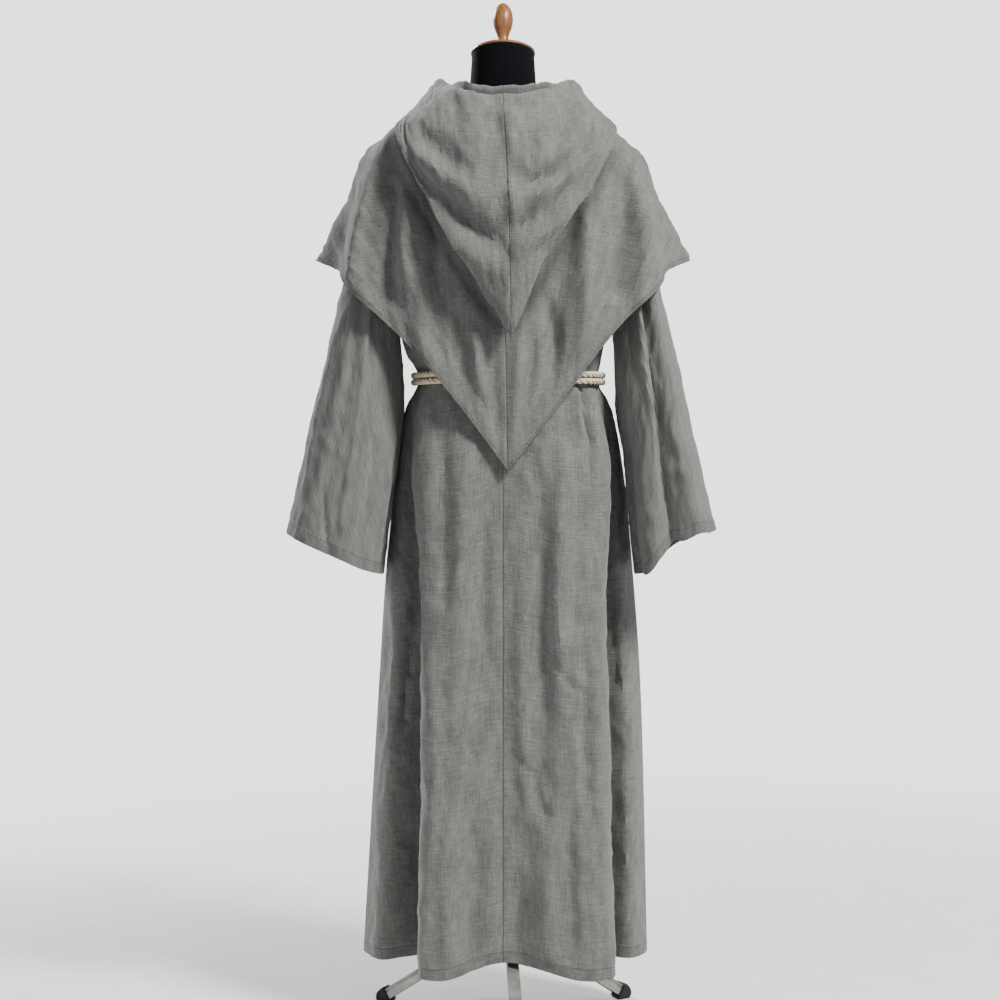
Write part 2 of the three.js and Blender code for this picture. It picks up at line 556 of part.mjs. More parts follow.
function addRobe() {
  const flat = { start: 'x', end: 'y', last: 'y' };
  add('robe_back_left', wall(robeBackNet(ROBE_BACK_LEFT), { side: 1, flat }), 'linen');
  add('robe_back_right', wall(mirrored(robeBackNet(ROBE_BACK_RIGHT)), { side: -1, flat }), 'linen');
  add('robe_front', wall(robeFrontNet(), { side: 1, flat: { start: 'y', end: 'y', last: 'y' } }), 'linen');
}

function addSleeves() {
  const left = sleeveNet(SLEEVE_LEFT, SLEEVE_FOLDS_LEFT);
  const right = mirrored(sleeveNet(SLEEVE_RIGHT, SLEEVE_FOLDS_RIGHT));
  const flat = { first: 'x' };
  add('sleeve_left', wall(left, { side: 1, closed: true, flat }), 'linen');
  add('sleeve_right', wall(right, { side: -1, closed: true, flat }), 'linen');
}

function addCapeAndHood() {
  const flat = { start: 'x', end: 'x' };
  add('cape_left', wall(capeNet(false), { side: -1, flat }), 'linen');
  add('cape_right', wall(capeNet(true), { side: 1, flat }), 'linen');
  add('hood_left', wall(hoodNet(false), { side: -1, flat }), 'linen');
  add('hood_right', wall(hoodNet(true), { side: 1, flat }), 'linen');
}

function addRope() {
  const outline = bridged(waistOutline());
  const half = ROPE.r + ROPE.gap / 2;
  add('rope_turn_upper', ropeTurn(outline, ROPE.z + half), 'rope');
  add('rope_turn_lower', ropeTurn(outline, ROPE.z - half), 'rope');
  const front = Math.min(...outline.map((p) => p.y)) - ROPE.clear - 2 * ROPE.r;
  const knotY = front - ROPE.gap - KNOT.halfDepth + KNOT.nestle;
  const knot = new THREE.SphereGeometry(1, 16, 10).scale(KNOT.halfWidth, KNOT.halfDepth, KNOT.halfHeight);
  add('rope_knot', mergeVertices(knot.deleteAttribute('normal').deleteAttribute('uv')), 'rope')
    .position.set(0, knotY, ROPE.z);
  addRopeEnd('left', 1, knotY);
  addRopeEnd('right', -1, knotY);
}

// an end hangs from the knot over the front of the skirt, down to a knot of its own
function addRopeEnd(name, sign, knotY) {
  const top = ROPE.z - KNOT.halfHeight - ROPE.gap;
  const route = new THREE.CatmullRomCurve3(ROPE_FALL.map(({ share, x, out }) => (
    vec(sign * x, knotY - out, top - share * ROPE_END[name])
  )));
  const section = new THREE.Shape().absarc(0, 0, ROPE.r, 0, 2 * Math.PI);
  const end = new THREE.ExtrudeGeometry(section, {
    steps: ROPE_END.steps, curveSegments: ROPE_SIDES / 2, bevelEnabled: false, extrudePath: route,
  });
  add(`rope_end_${name}`, end, 'rope');
  const { r, height, tail } = END_KNOT;
  const profile = [
    [0, -height - tail], [ROPE.r * 1.1, -height - tail], [ROPE.r * 0.9, -height - tail * 0.5],
    [ROPE.r, -height], [r * 0.8, -height * 0.82], [r, -height * 0.5], [r * 0.8, -height * 0.18],
    [ROPE.r, 0], [0, 0],
  ];
  const foot = route.getPoint(1);
  add(`rope_end_knot_${name}`, lathe(profile, 12), 'rope').position.set(foot.x, foot.y, foot.z - END_KNOT.gap);
}

// a turned piece: the profile is radius and height, from the axis at the bottom to the axis at the top
function lathe(profile, segments) {
  const points = profile.map(([r, z]) => new THREE.Vector2(r, z));
  const turned = new THREE.LatheGeometry(points, segments).rotateX(Math.PI / 2);
  return mergeVertices(turned.deleteAttribute('normal').deleteAttribute('uv'), 1e-3);
}

const FORM_AROUND = 24;

function addDressForm() {
  const ring = (w, d, y, height) => Array.from({ length: FORM_AROUND }, (_, j) => {
    const turn = (j / FORM_AROUND) * 2 * Math.PI;
    return vec(w * Math.cos(turn), y + d * Math.sin(turn), height(y + d * Math.sin(turn)));
  });
  const rings = FORM.map((row) => ring(row.w, row.d, row.y, () => row.z));
  const slope = Math.tan(NECK_TOP.tilt);
  rings.push(ring(NECK_TOP.r, NECK_TOP.r, 0, (y) => NECK_TOP.z + y * slope));
  add('dress_form', loft(rings), 'cover');
  addNeckCap();
}

// the cap and the finial stand square to the neck's sloping top
function addNeckCap() {
  const top = new THREE.Group();
  top.position.z = NECK_TOP.z;
  top.rotation.x = NECK_TOP.tilt;
  habit.add(top);
  add('neck_cap', lathe(CAP_PROFILE, 28), 'wood', top);
  add('finial', lathe(FINIAL_PROFILE, 16), 'wood', top);
}

function addStand() {
  const pole = new THREE.CylinderGeometry(POLE.r, POLE.r, 1, 20).rotateX(Math.PI / 2);
  const bottom = HUB.top + SEAM;
  const top = FORM[0].z - SEAM;
  const height = top - bottom;
  add('pole', pole.scale(1, 1, height), 'metal', stand).position.z = (top + bottom) / 2;
  const { r, lower, upper } = HUB;
  const hub = [
    [0, HUB.bottom], [r - lower, HUB.bottom], [r, HUB.bottom + lower],
    [r, HUB.top - upper], [r - upper, HUB.top], [0, HUB.top],
  ];
  add('stand_hub', lathe(hub, 24), 'metal', stand);
  LEG_ANGLES.forEach((angle, i) => addLeg(angle, i + 1));
}

// a leg is an inverted channel with a groove along each side; its foot is a cap on its lower end
function addLeg(angle, number) {
  const side = new THREE.Group();
  side.rotation.z = THREE.MathUtils.degToRad(angle);
  stand.add(side);
  const [sin, cos] = [Math.sin(LEG.slope), Math.cos(LEG.slope)];
  const heightAt = (r) => FOOT.centre + (FOOT.r - r) * sin / cos;
  const [w, h, t, g] = [LEG.width / 2, LEG.height / 2, LEG.wall, LEG.groove];
  const mid = h / 3;
  const start = Math.sqrt(HUB.r ** 2 - (w - t) ** 2) + SEAM + h * sin;
  const channel = new THREE.Shape([
    [-w, -h], [-w, mid - g], [-w + g, mid], [-w + g, mid + g], [-w, mid + 2 * g], [-w + g, h],
    [w - g, h], [w, mid + 2 * g], [w - g, mid + g], [w - g, mid], [w, mid - g], [w, -h],
    [w - t, -h], [w - t, h - LEG.top], [t - w, h - LEG.top], [t - w, -h],
  ].map(([x, y]) => new THREE.Vector2(x, y)));
  const length = (FOOT.legEnd - start) / cos - SEAM;
  const bar = new THREE.ExtrudeGeometry(channel, { depth: length, bevelEnabled: false });
  const basis = new THREE.Matrix4().makeBasis(vec(0, 1, 0), vec(sin, 0, cos), vec(cos, 0, -sin));
  bar.applyMatrix4(basis.setPosition(start, 0, heightAt(start)));
  add(`leg_${number}`, bar, 'metal', side);
  const end = new THREE.Vector2(FOOT.legEnd, heightAt(FOOT.legEnd));
  const across = new THREE.Vector2(sin, cos).multiplyScalar(FOOT.half);
  const { toe, round, height } = FOOT;
  const profile = new THREE.Shape();
  profile.moveTo(end.x - across.x, end.y - across.y);
  profile.lineTo(end.x - across.x + FOOT.heel, 0);
  profile.lineTo(toe - round, 0);
  profile.quadraticCurveTo(toe, 0, toe, height - 2 * round);
  profile.quadraticCurveTo(toe, height - round, toe - 1.5 * round, height);
  profile.lineTo(end.x + across.x, end.y + across.y);
  profile.closePath();
  const bend = { depth: FOOT.width, bevelEnabled: false, curveSegments: 5 };
  const cap = new THREE.ExtrudeGeometry(profile, bend);
  cap.rotateX(Math.PI / 2).translate(0, FOOT.width / 2, 0);
  add(`foot_${number}`, cap, 'rubber', side);
}

addRobe();
addSleeves();
addCapeAndHood();
addRope();
addDressForm();
addStand();

export default habit;
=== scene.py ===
import math

import bpy
import numpy as np
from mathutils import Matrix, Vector, noise
from numpy.linalg import norm


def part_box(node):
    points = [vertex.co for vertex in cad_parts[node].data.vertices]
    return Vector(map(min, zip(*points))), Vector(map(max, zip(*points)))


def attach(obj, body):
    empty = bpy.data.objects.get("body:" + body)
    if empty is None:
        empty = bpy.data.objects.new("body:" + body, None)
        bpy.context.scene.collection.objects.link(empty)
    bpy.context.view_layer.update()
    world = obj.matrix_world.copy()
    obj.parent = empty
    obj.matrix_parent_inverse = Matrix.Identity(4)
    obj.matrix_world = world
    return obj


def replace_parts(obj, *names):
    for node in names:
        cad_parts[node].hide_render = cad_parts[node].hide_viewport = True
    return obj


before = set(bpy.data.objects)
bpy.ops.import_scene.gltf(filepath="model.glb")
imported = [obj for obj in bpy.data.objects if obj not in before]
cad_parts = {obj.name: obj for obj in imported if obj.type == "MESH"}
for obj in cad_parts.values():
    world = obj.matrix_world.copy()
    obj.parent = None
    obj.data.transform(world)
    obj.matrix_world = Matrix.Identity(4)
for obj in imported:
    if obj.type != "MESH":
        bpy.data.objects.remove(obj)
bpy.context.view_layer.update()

# ---- driving sizes ----
CLOTH = .0017                    # thickness of the shell
POLE = Vector((0, -.028, 0))     # the pole's axis in the frame
ARMHOLE = dict(x=(.18, .2), z=(1.187, 1.484), depth=.068)
ARMHOLE_GAP = .0005              # between the armhole's edge and the sleeve
HEM, CAPE_HEM = .019, .0085      # depth of the turned hems
GRAIN, HOOD_GRAIN = .006, .0048   # spacing of the shells' points
ALONG, ACROSS = 24, 10           # steps of a curve between two rows of a table, and between two folds
SEAM_ROWS = (.0012, .0026, .0042, .0062)
HEM_ROWS = (.0008, .006, .012, .0165, .0178, .0186, .0194, .0205)
CAPE_HEM_ROWS = (.0008, .006, .0075, .009, .0105)
ROBE_ROWS = ((HEM_ROWS, ()), (SEAM_ROWS, SEAM_ROWS))
SWELL, WRINKLE = .003, .0024     # how high the cloth's soft swells and its fine wrinkles stand
ROPE = dict(r=.0055, z=1.08, gap=.0003, clear=.0006, reach=.014, pitch=.034, step=.003)
BELT = dict(points=280, smoothings=14, waves=3, wave=.0006)
ROPE_END = dict(left=.52, right=.482)
END_KNOT = dict(r=.011, height=.026, tail=.022, gap=.001, wraps=1.75, splay=.0012, step=.0016)
STRANDS, STRAND_SIDES = 3, 9
STRAND_OUT, STRAND_R = .48, .52   # how far out a strand lies and how thick it is, to the rope's radius
SLEEVE_AROUND, FORM_AROUND = 120, 96
NECK_TOP = dict(z=1.627, tilt=math.radians(12.5), r=.0525)
STAND = dict(pole="metal", stand="metal", leg="metal", foot="rubber")
EDGE = dict(metal=.0006, rubber=.002)     # the stand's rounded edges
CAMERA = dict(distance=3.5, height=.96, width=1.69, shift=(-.003, -.05))
FLOOR = dict(r=3.5, around=96, clear=.5, faded=3.4)
LIT = Vector((0, 0, .95))        # where the lights point
ROOM = {"From Min": -.94, "From Max": -.89, "To Min": 2.5, "To Max": .31}     # strength by direction in Y


def named(names, *rows):
    """A table's rows as dictionaries. A row may leave its last values out."""
    return [dict(zip(names.split(), row)) for row in rows]


LIGHTS = named("name place size power colour",
    ("key", (-2.3, 2.15, 4.2), .9, 400, (1, .985, .96)),
    ("fill", (2.8, 2.6, 2.2), 1.8, 20, (.96, .98, 1)),
    ("front", (2.4, -2.9, 3.3), 1.1, 270, (1, .985, .965)),
)

# ---- fold tables: the same named folds as the solids, in metres ----
BACK_FOLDS, FRONT_FOLDS = "cb crest edge recess bulge", "flank recess edge crest cf"
CAPE_LEVELS = "neck yoke shoulder arm low hem"
HOOD_LEVELS = "edge inner rim high mid low fold under back seam"
BODICE_BACK = named("z " + BACK_FOLDS,
    (1.187, (0, .112), (.068, .109), (.122, .092), (.15, .068), (.17, .04)),
    (1.25, (0, .112), (.068, .11), (.122, .098), (.15, .085), (.172, .072)),
    (1.33, (0, .11), (.066, .11), (.118, .1), (.148, .088), (.174, .078)),
    (1.41, (0, .102), (.062, .102), (.11, .094), (.145, .082), (.175, .07)),
    (1.462, (0, .088, 1.474), (.056, .084, 1.48), (.1, .066, 1.488), (.136, .056, 1.478),
     (.172, .047, 1.466)),
)
ROBE_BACK_LEFT = named("z " + BACK_FOLDS + " side",
    (.098, (0, .108, .12), (.097, .14), (.134, .122), (.128, -.044), (.205, -.004), (.241, -.07)),
    (.56, (0, .12), (.086, .134), (.131, .116), (.132, -.008), (.184, .008), (.214, -.066)),
    (.76, (0, .123), (.082, .129), (.133, .108), (.138, .008), (.175, .014), (.201, -.062)),
    (.93, (0, .122), (.08, .124), (.144, .095), (.151, .026), (.168, .018), (.183, -.052)),
    (1.025, (0, .112), (.07, .112), (.13, .084), (.146, .038), (.16, .016), (.167, -.034)),
    (1.08, (0, .104), (.062, .101), (.112, .079), (.128, .048), (.136, .02), (.139, -.014)),
    (1.125, (0, .109), (.066, .106), (.12, .086), (.144, .058), (.158, .028), (.165, -.008)),
)
ROBE_BACK_RIGHT = named("z " + BACK_FOLDS + " side",
    (.098, (0, .108, .12), (.132, .14), (.181, .118), (.172, -.04), (.215, -.012), (.249, -.07)),
    (.56, (0, .12), (.11, .134), (.168, .112), (.172, -.006), (.206, .004), (.237, -.066)),
    (.76, (0, .123), (.098, .129), (.164, .104), (.172, .008), (.196, .008), (.223, -.064)),
    (.93, (0, .122), (.094, .124), (.172, .09), (.176, .026), (.19, .01), (.206, -.054)),
    (1.025, (0, .112), (.08, .112), (.154, .076), (.165, .034), (.178, .012), (.186, -.036)),
    (1.08, (0, .104), (.068, .101), (.13, .075), (.15, .046), (.157, .02), (.16, -.014)),
    (1.125, (0, .109), (.068, .106), (.124, .086), (.148, .058), (.162, .028), (.169, -.008)),
)
ROBE_FRONT = named("z " + FRONT_FOLDS,
    (.098, (.212, -.138), (.158, -.104), (.138, -.172), (.084, -.192), (0, -.166, .108)),
    (.56, (.19, -.12), (.149, -.099), (.126, -.153), (.074, -.169), (0, -.158)),
    (.76, (.172, -.108), (.143, -.094), (.12, -.142), (.068, -.156), (0, -.15)),
    (.93, (.156, -.088), (.136, -.088), (.112, -.126), (.062, -.138), (0, -.138)),
    (1.025, (.146, -.064), (.128, -.08), (.104, -.108), (.057, -.121), (0, -.124)),
    (1.08, (.138, -.046), (.116, -.072), (.092, -.089), (.052, -.103), (0, -.108)),
    (1.125, (.158, -.042), (.136, -.074), (.106, -.096), (.058, -.111), (0, -.117)),
    (1.187, (.168, -.044), (.142, -.08), (.11, -.104), (.06, -.118), (0, -.124)),
    (1.25, (.172, -.072), (.146, -.092), (.112, -.11), (.062, -.122), (0, -.127)),
    (1.33, (.174, -.078), (.146, -.094), (.11, -.11), (.06, -.121), (0, -.124)),
    (1.41, (.174, -.068), (.142, -.082), (.106, -.097), (.058, -.108), (0, -.11)),
    (1.462, (.172, -.047, 1.466), (.136, -.058, 1.478), (.1, -.07, 1.486), (.056, -.092, 1.47),
     (0, -.096, 1.46)),
)
SLEEVE_LEFT = named("inner outer depth y",
    ((.176, 1.165), (.221, 1.442), .071, -.002), ((.172, 1.13), (.24, 1.362), .073, -.004),
    ((.169, 1.085), (.259, 1.28), .078, -.002), ((.167, 1.03), (.281, 1.19), .09, .002),
    ((.173, .965), (.3, 1.095), .097, .006), ((.184, .89), (.324, .995), .104, .01),
    ((.193, .82), (.345, .905), .11, .012), ((.2, .752), (.362, .822), .116, .014),
)
SLEEVE_RIGHT = named("inner outer depth y",
    ((.184, 1.165), (.221, 1.442), .071, -.002), ((.188, 1.13), (.24, 1.362), .073, -.004),
    ((.19, 1.085), (.256, 1.28), .078, -.002), ((.192, 1.03), (.275, 1.19), .09, .002),
    ((.202, .965), (.297, 1.095), .097, .006), ((.208, .89), (.317, .995), .104, .01),
    ((.214, .82), (.337, .905), .11, .012), ((.221, .752), (.355, .828), .116, .014),
)
SLEEVE_FOLDS_LEFT = named("at width head cuff lift",
    (88, 16, .004, -.013, 0), (132, 20, 0, .006, 0), (268, 18, -.003, -.011, 0), (222, 18, .002, .007, 0),
)
SLEEVE_FOLDS_RIGHT = named("at width head cuff lift",
    (128, 13, .003, .009, -.006), (102, 17, -.003, -.014, .024), (66, 26, 0, .003, .016),
    (262, 18, -.003, -.012, 0), (300, 20, .001, .006, 0),
)
# the right sleeve's one sharp ridge runs from the first to the second of its degrees
SLEEVE_RIDGE_RIGHT = dict(at=(62, 112), width=2.4, reach=(26, 50), height=.012, grow=4, corner=(44, 23, .024))
CAPE = named("drop " + CAPE_LEVELS,
    (.004, (0, .09, 1.534), (0, .114, 1.478), (0, .126, 1.39), (0, .132, 1.26), (-.005, .134, 1.09),
     (-.007, .138, .928)),
    (.026, (.034, .084, 1.537), (.056, .106, 1.484), (.066, .121, 1.4), (.066, .131, 1.29),
     (.062, .128, 1.15), (.057, .134, 1.014)),
    (.02, (.062, .066, 1.542), (.112, .084, 1.4905), (.126, .104, 1.42), (.13, .118, 1.325),
     (.129, .122, 1.215), (.126, .125, 1.1)),
    (.004, (.082, .04, 1.547), (.16, .056, 1.498), (.188, .076, 1.436), (.196, .096, 1.352),
     (.196, .102, 1.262), (.196, .106, 1.172)),
    (0, (.092, .018, 1.55), (.182, .03, 1.4984), (.221, .052, 1.442), (.238, .078, 1.362),
     (.249, .088, 1.294), (.257, .09, 1.226)),
    (0, (.096, .004, 1.551), (.186, .006, 1.4994), (.229, .012, 1.45), (.249, .016, 1.378),
     (.262, .018, 1.322), (.276, .014, 1.262)),
    (0, (.097, -.01, 1.55), (.187, -.014, 1.5004), (.238, -.024, 1.458), (.263, -.038, 1.396),
     (.291, -.05, 1.342), (.322, -.058, 1.285)),
    (0, (.09, -.042, 1.54), (.16, -.062, 1.488), (.208, -.084, 1.434), (.232, -.104, 1.374),
     (.252, -.118, 1.322), (.274, -.128, 1.268)),
    (0, (.068, -.07, 1.528), (.112, -.098, 1.472), (.134, -.118, 1.412), (.148, -.13, 1.346),
     (.16, -.138, 1.278), (.172, -.146, 1.212)),
    (0, (.034, -.088, 1.516), (.056, -.112, 1.46), (.066, -.132, 1.396), (.072, -.142, 1.324),
     (.078, -.146, 1.248), (.084, -.15, 1.17)),
    (0, (0, -.095, 1.508), (0, -.116, 1.45), (0, -.136, 1.382), (0, -.146, 1.306), (0, -.15, 1.226),
     (0, -.152, 1.144)),
)
HOOD = named(HOOD_LEVELS,
    ((0, .068, 1.532), (0, .075, 1.562), (0, .116, 1.543), (-.002, .148, 1.49), (-.007, .178, 1.4),
     (-.011, .188, 1.28), (-.012, .164, 1.141), (-.008, .15, 1.255), (-.004, .145, 1.38), (0, .1, 1.525)),
    ((.032, .062, 1.533), (.038, .07, 1.562), (.046, .112, 1.545), (.05, .146, 1.494), (.054, .174, 1.42),
     (.06, .182, 1.34), (.066, .166, 1.268), (.054, .15, 1.32), (.044, .138, 1.42), (.038, .096, 1.528)),
    ((.052, .044, 1.536), (.062, .052, 1.57), (.08, .084, 1.558), (.094, .122, 1.512),
     (.112, .148, 1.456), (.124, .158, 1.412), (.132, .147, 1.38), (.104, .134, 1.4183),
     (.082, .118, 1.4723), (.066, .078, 1.537)),
    ((.067, .024, 1.544), (.08, .026, 1.571), (.1, .042, 1.567), (.121, .068, 1.545), (.147, .098, 1.501),
     (.163, .112, 1.474), (.168, .114, 1.454), (.14, .098, 1.4723), (.114, .078, 1.5103),
     (.084, .052, 1.545)),
    ((.07, .002, 1.546), (.1, .004, 1.582), (.113, .012, 1.582), (.129, .016, 1.559), (.15, .026, 1.531),
     (.167, .036, 1.513), (.178, .042, 1.504), (.156, .036, 1.5143), (.132, .026, 1.5333),
     (.1, .012, 1.557)),
    ((.07, -.034, 1.543), (.086, -.034, 1.568), (.101, -.038, 1.567), (.112, -.042, 1.556),
     (.123, -.046, 1.543), (.132, -.05, 1.532), (.134, -.054, 1.525), (.122, -.052, 1.5293),
     (.11, -.05, 1.5353), (.096, -.044, 1.546)),
    ((.038, -.058, 1.508), (.052, -.072, 1.544), (.062, -.082, 1.546), (.068, -.088, 1.538),
     (.074, -.092, 1.528), (.078, -.098, 1.516), (.078, -.1, 1.508), (.074, -.096, 1.512),
     (.069, -.09, 1.519), (.062, -.082, 1.528)),
    ((0, -.07, 1.49), (0, -.086, 1.528), (0, -.096, 1.532), (0, -.103, 1.522), (0, -.109, 1.51),
     (0, -.114, 1.5), (0, -.114, 1.492), (0, -.109, 1.496), (0, -.104, 1.503), (0, -.098, 1.512)),
)
ROPE_FALL = named("share x out",
    (0, .007, 0), (.03, .0076, .0006), (.06, .009, .002), (.1, .0106, .0044), (.15, .012, .0074),
    (.2, .013, .01), (.27, .0142, .0138), (.34, .0152, .0172), (.41, .0158, .0202),
    (.48, .0163, .0232), (.56, .0168, .0264), (.64, .0174, .0294), (.72, .018, .0322),
    (.81, .0185, .0356), (.9, .0188, .0388), (1, .019, .042),
)
FORM = named("z w d y",
    (.822, .118, .088, -.006), (.83, .128, .096, -.006), (.89, .134, .102, -.005),
    (.96, .131, .098, -.004), (1.03, .117, .088, -.003), (1.085, .108, .08, -.003),
    (1.15, .116, .088, -.004), (1.25, .136, .1, -.006), (1.33, .152, .098, -.004), (1.4, .166, .088, 0),
    (1.45, .176, .068, .001), (1.48, .174, .05, .001), (1.5015, .158, .038, .001),
    (1.518, .12, .042, .001), (1.528, .076, .05, .001), (1.547, .06, .055, 0), (1.59, .055, .054, 0),
)
SHOULDER_BACK = [
    (0, .072, 1.518), (.046, .058, 1.527), (.08, .012, 1.538), (.122, .002, 1.526),
    (.163, .002, 1.5075), (.2, .002, 1.484),
]
SHOULDER_FRONT = [
    (.2, -.002, 1.484), (.163, -.002, 1.5075), (.122, -.002, 1.526), (.08, -.012, 1.538),
    (.046, -.062, 1.512), (0, -.08, 1.496),
]
CAPE_RIGHT_WIDER, HOOD_RIGHT_WIDER = .998, 1.05
CAP_PROFILE = [
    (0, .0003), (.053, .0003), (.0545, .002), (.054, .005), (.05, .0075), (.034, .0095), (.014, .0105),
    (0, .0105),
]
FINIAL_PROFILE = [
    (0, .0108), (.013, .0108), (.0135, .013), (.011, .018), (.0094, .026), (.0094, .032), (.0115, .04),
    (.015, .05), (.017, .061), (.0168, .07), (.0145, .08), (.01, .088), (.0045, .093), (0, .094),
]
ROBE_BACK_LEFT += BODICE_BACK
ROBE_BACK_RIGHT += BODICE_BACK

# ---- the cut: flat size, how a sheet is held, what it rests on and the seed of its crumples ----
CUT = dict(
    robe_back_left=((.46, 1.47), "hung", "form_body", 4.5),
    robe_back_right=((.5, 1.47), "hung", "form_body", 11.5),
    robe_front=((.86, 1.46), "hung", "form_body", 23.5),
    sleeve_left=((.62, .72), "hung", "cloth_robe_front", 41.5),
    sleeve_right=((.6, .72), "hung", "cloth_robe_front", 31.5),
    cape_left=((.56, .66), "draped", "cloth_robe_front", 51.5),
    cape_right=((.56, .66), "draped", "cloth_robe_front", 61.5),
    hood_left=((.46, .72), "draped", "cloth_cape_left", 71.5),
    hood_right=((.46, .72), "draped", "cloth_cape_right", 81.5),
)

# ---- creases: troughs, and ridges with a negative depth, along paths in x and z ----
CREASE = "path width depth fade"
BACK_CREASES = named(CREASE,
    ([(.054, .99), (.067, .85), (.073, .65), (.067, .45)], .017, -.009, (.2, .4)),
    ([(.103, 1.04), (.096, .88), (.093, .68)], .013, .009),
    ([(.029, .91), (.034, .72), (.025, .55)], .013, .0076),
    ([(.025, .63), (.054, .57), (.083, .51)], .008, .0076),
    ([(.01, .555), (.041, .495), (.067, .43)], .009, .0067),
    ([(.119, .65), (.109, .45), (.119, .23)], .011, -.0076),
    ([(.054, .405), (.044, .275), (.054, .12)], .015, .0106, (.4, .1)),
    ([(.086, .4), (.092, .26), (.086, .12)], .014, -.009, (.4, .1)),
    ([(.016, .4), (.02, .26), (.012, .12)], .012, -.006, (.4, .1)),
    ([(-.103, .99), (-.093, .85), (-.09, .68), (-.096, .52)], .013, -.0134, (.25, .3)),
    ([(-.06, .93), (-.06, .72), (-.068, .55), (-.06, .39)], .015, .012, (.3, .3)),
    ([(-.129, 1.066), (-.134, 1.033), (-.145, .978), (-.145, .9)], .005, .012, (.03, .5)),
    ([(-.118, 1.066), (-.126, .99), (-.132, .91)], .008, -.0076, (.05, .6)),
    ([(-.142, .72), (-.134, .52), (-.145, .29)], .012, .0106),
    ([(-.036, .78), (-.031, .55), (-.044, .31)], .014, -.009),
    ([(-.118, .42), (-.106, .29), (-.113, .12)], .014, .012, (.4, .1)),
    ([(-.07, .36), (-.074, .23), (-.068, .12)], .014, -.0106, (.4, .1)),
    ([(-.08, .62), (-.11, .575), (-.14, .56)], .007, .006),
    ([(-.02, .47), (-.05, .43), (-.07, .36)], .008, .006),
    ([(-.03, .27), (-.028, .2), (-.03, .12)], .011, .0076, (.5, .1)),
    ([(.15, .7), (.158, .5), (.165, .14)], .012, .009),
    ([(-.175, .75), (-.182, .5), (-.19, .14)], .012, .009),
)
FRONT_CREASES = named(CREASE,
    ([(.03, 1.075), (.034, .97), (.042, .84)], .009, .0096, (.04, .6)),
    ([(.052, 1.07), (.06, .92), (.058, .72)], .014, .008, (.05, .5)),
    ([(.078, 1.07), (.088, .95), (.09, .8)], .008, .008, (.05, .6)),
    ([(.012, 1.07), (.01, .9), (.016, .6), (.01, .3)], .017, .0072, (.05, .3)),
    ([(.1, .7), (.095, .5), (.105, .3)], .02, .0064),
    ([(.06, .5), (.066, .35), (.06, .14)], .022, .008, (.4, .1)),
    ([(-.022, 1.075), (-.03, .95), (-.034, .8)], .008, .0096, (.04, .6)),
    ([(-.047, 1.07), (-.052, .88), (-.05, .66)], .016, .008, (.05, .5)),
    ([(-.074, 1.07), (-.08, .96), (-.086, .85)], .007, .008, (.05, .6)),
    ([(-.09, .74), (-.1, .5), (-.094, .26)], .019, .0072),
    ([(-.05, .46), (-.04, .3), (-.046, .13)], .02, .008, (.4, .1)),
    ([(-.02, .62), (.02, .52), (.05, .47)], .01, .0042),
    ([(-.03, 1.1), (-.036, 1.17), (-.05, 1.25)], .009, .0064, (.05, .6)),
    ([(.028, 1.1), (.03, 1.18), (.04, 1.27)], .01, .0064, (.05, .6)),
    ([(.07, 1.1), (.078, 1.16), (.09, 1.22)], .008, .0064, (.05, .6)),
    ([(-.074, 1.1), (-.08, 1.17), (-.086, 1.23)], .008, .0064, (.05, .6)),
)
CAPE_CREASES = named(CREASE,
    ([(.159, 1.45), (.161, 1.3), (.148, 1.2)], .015, -.0125, (.3, .2)),
    ([(.13, 1.4), (.1155, 1.34), (.109, 1.27), (.103, 1.17)], .015, .015, (.3, .3)),
    ([(.138, 1.21), (.129, 1.14), (.103, 1.066)], .013, -.0088),
    ([(.0765, 1.2), (.07, 1.13), (.057, 1.057)], .012, .0112),
    ([(.044, 1.163), (.042, 1.1), (.031, 1.04)], .011, -.01, (.3, .2)),
    ([(.016, 1.123), (.012, 1.041), (.008, .976)], .009, .0075, (.3, .2)),
    ([(.183, 1.44), (.18, 1.37), (.184, 1.29), (.19, 1.2)], .012, .0137, (.2, .15)),
    ([(.213, 1.45), (.223, 1.385), (.239, 1.31), (.254, 1.22)], .01, -.0088, (.3, .1)),
    ([(-.132, 1.42), (-.133, 1.33), (-.136, 1.2), (-.124, 1.1)], .014, -.013, (.25, .25)),
    ([(-.118, 1.36), (-.1, 1.26), (-.084, 1.17), (-.08, 1.08)], .018, .011, (.2, .3)),
    ([(-.186, 1.44), (-.19, 1.334), (-.188, 1.2)], .019, .015, (.2, .1)),
    ([(-.222, 1.41), (-.231, 1.34), (-.236, 1.27), (-.22, 1.19)], .013, -.01, (.3, .1)),
    ([(-.2, 1.44), (-.206, 1.38), (-.2, 1.3)], .009, .0075),
    ([(-.07, 1.22), (-.085, 1.14), (-.075, 1.04)], .013, .0112),
    ([(-.0277, 1.2), (-.0244, 1.074), (-.016, .976)], .01, -.0075),
    ([(-.05, 1.16), (-.045, 1.08), (-.035, 1.02)], .009, .0063),
    ([(.188, 1.462), (.148, 1.38), (.08, 1.268), (0, 1.15)], .009, .01, (.15, .15)),
)
# painted shade on the cape just outside the hood's two edges: here depth is the share by which the colour is
# darkened
HOOD_EDGE_PAINTED_SHADE = named(CREASE,
    ([(-.184, 1.47), (-.15, 1.387), (-.082, 1.268), (-.008, 1.145)], .014, .5, (.06, .06)),
    ([(.172, 1.47), (.136, 1.385), (.07, 1.27), (0, 1.145)], .008, .35, (.06, .06)),
)
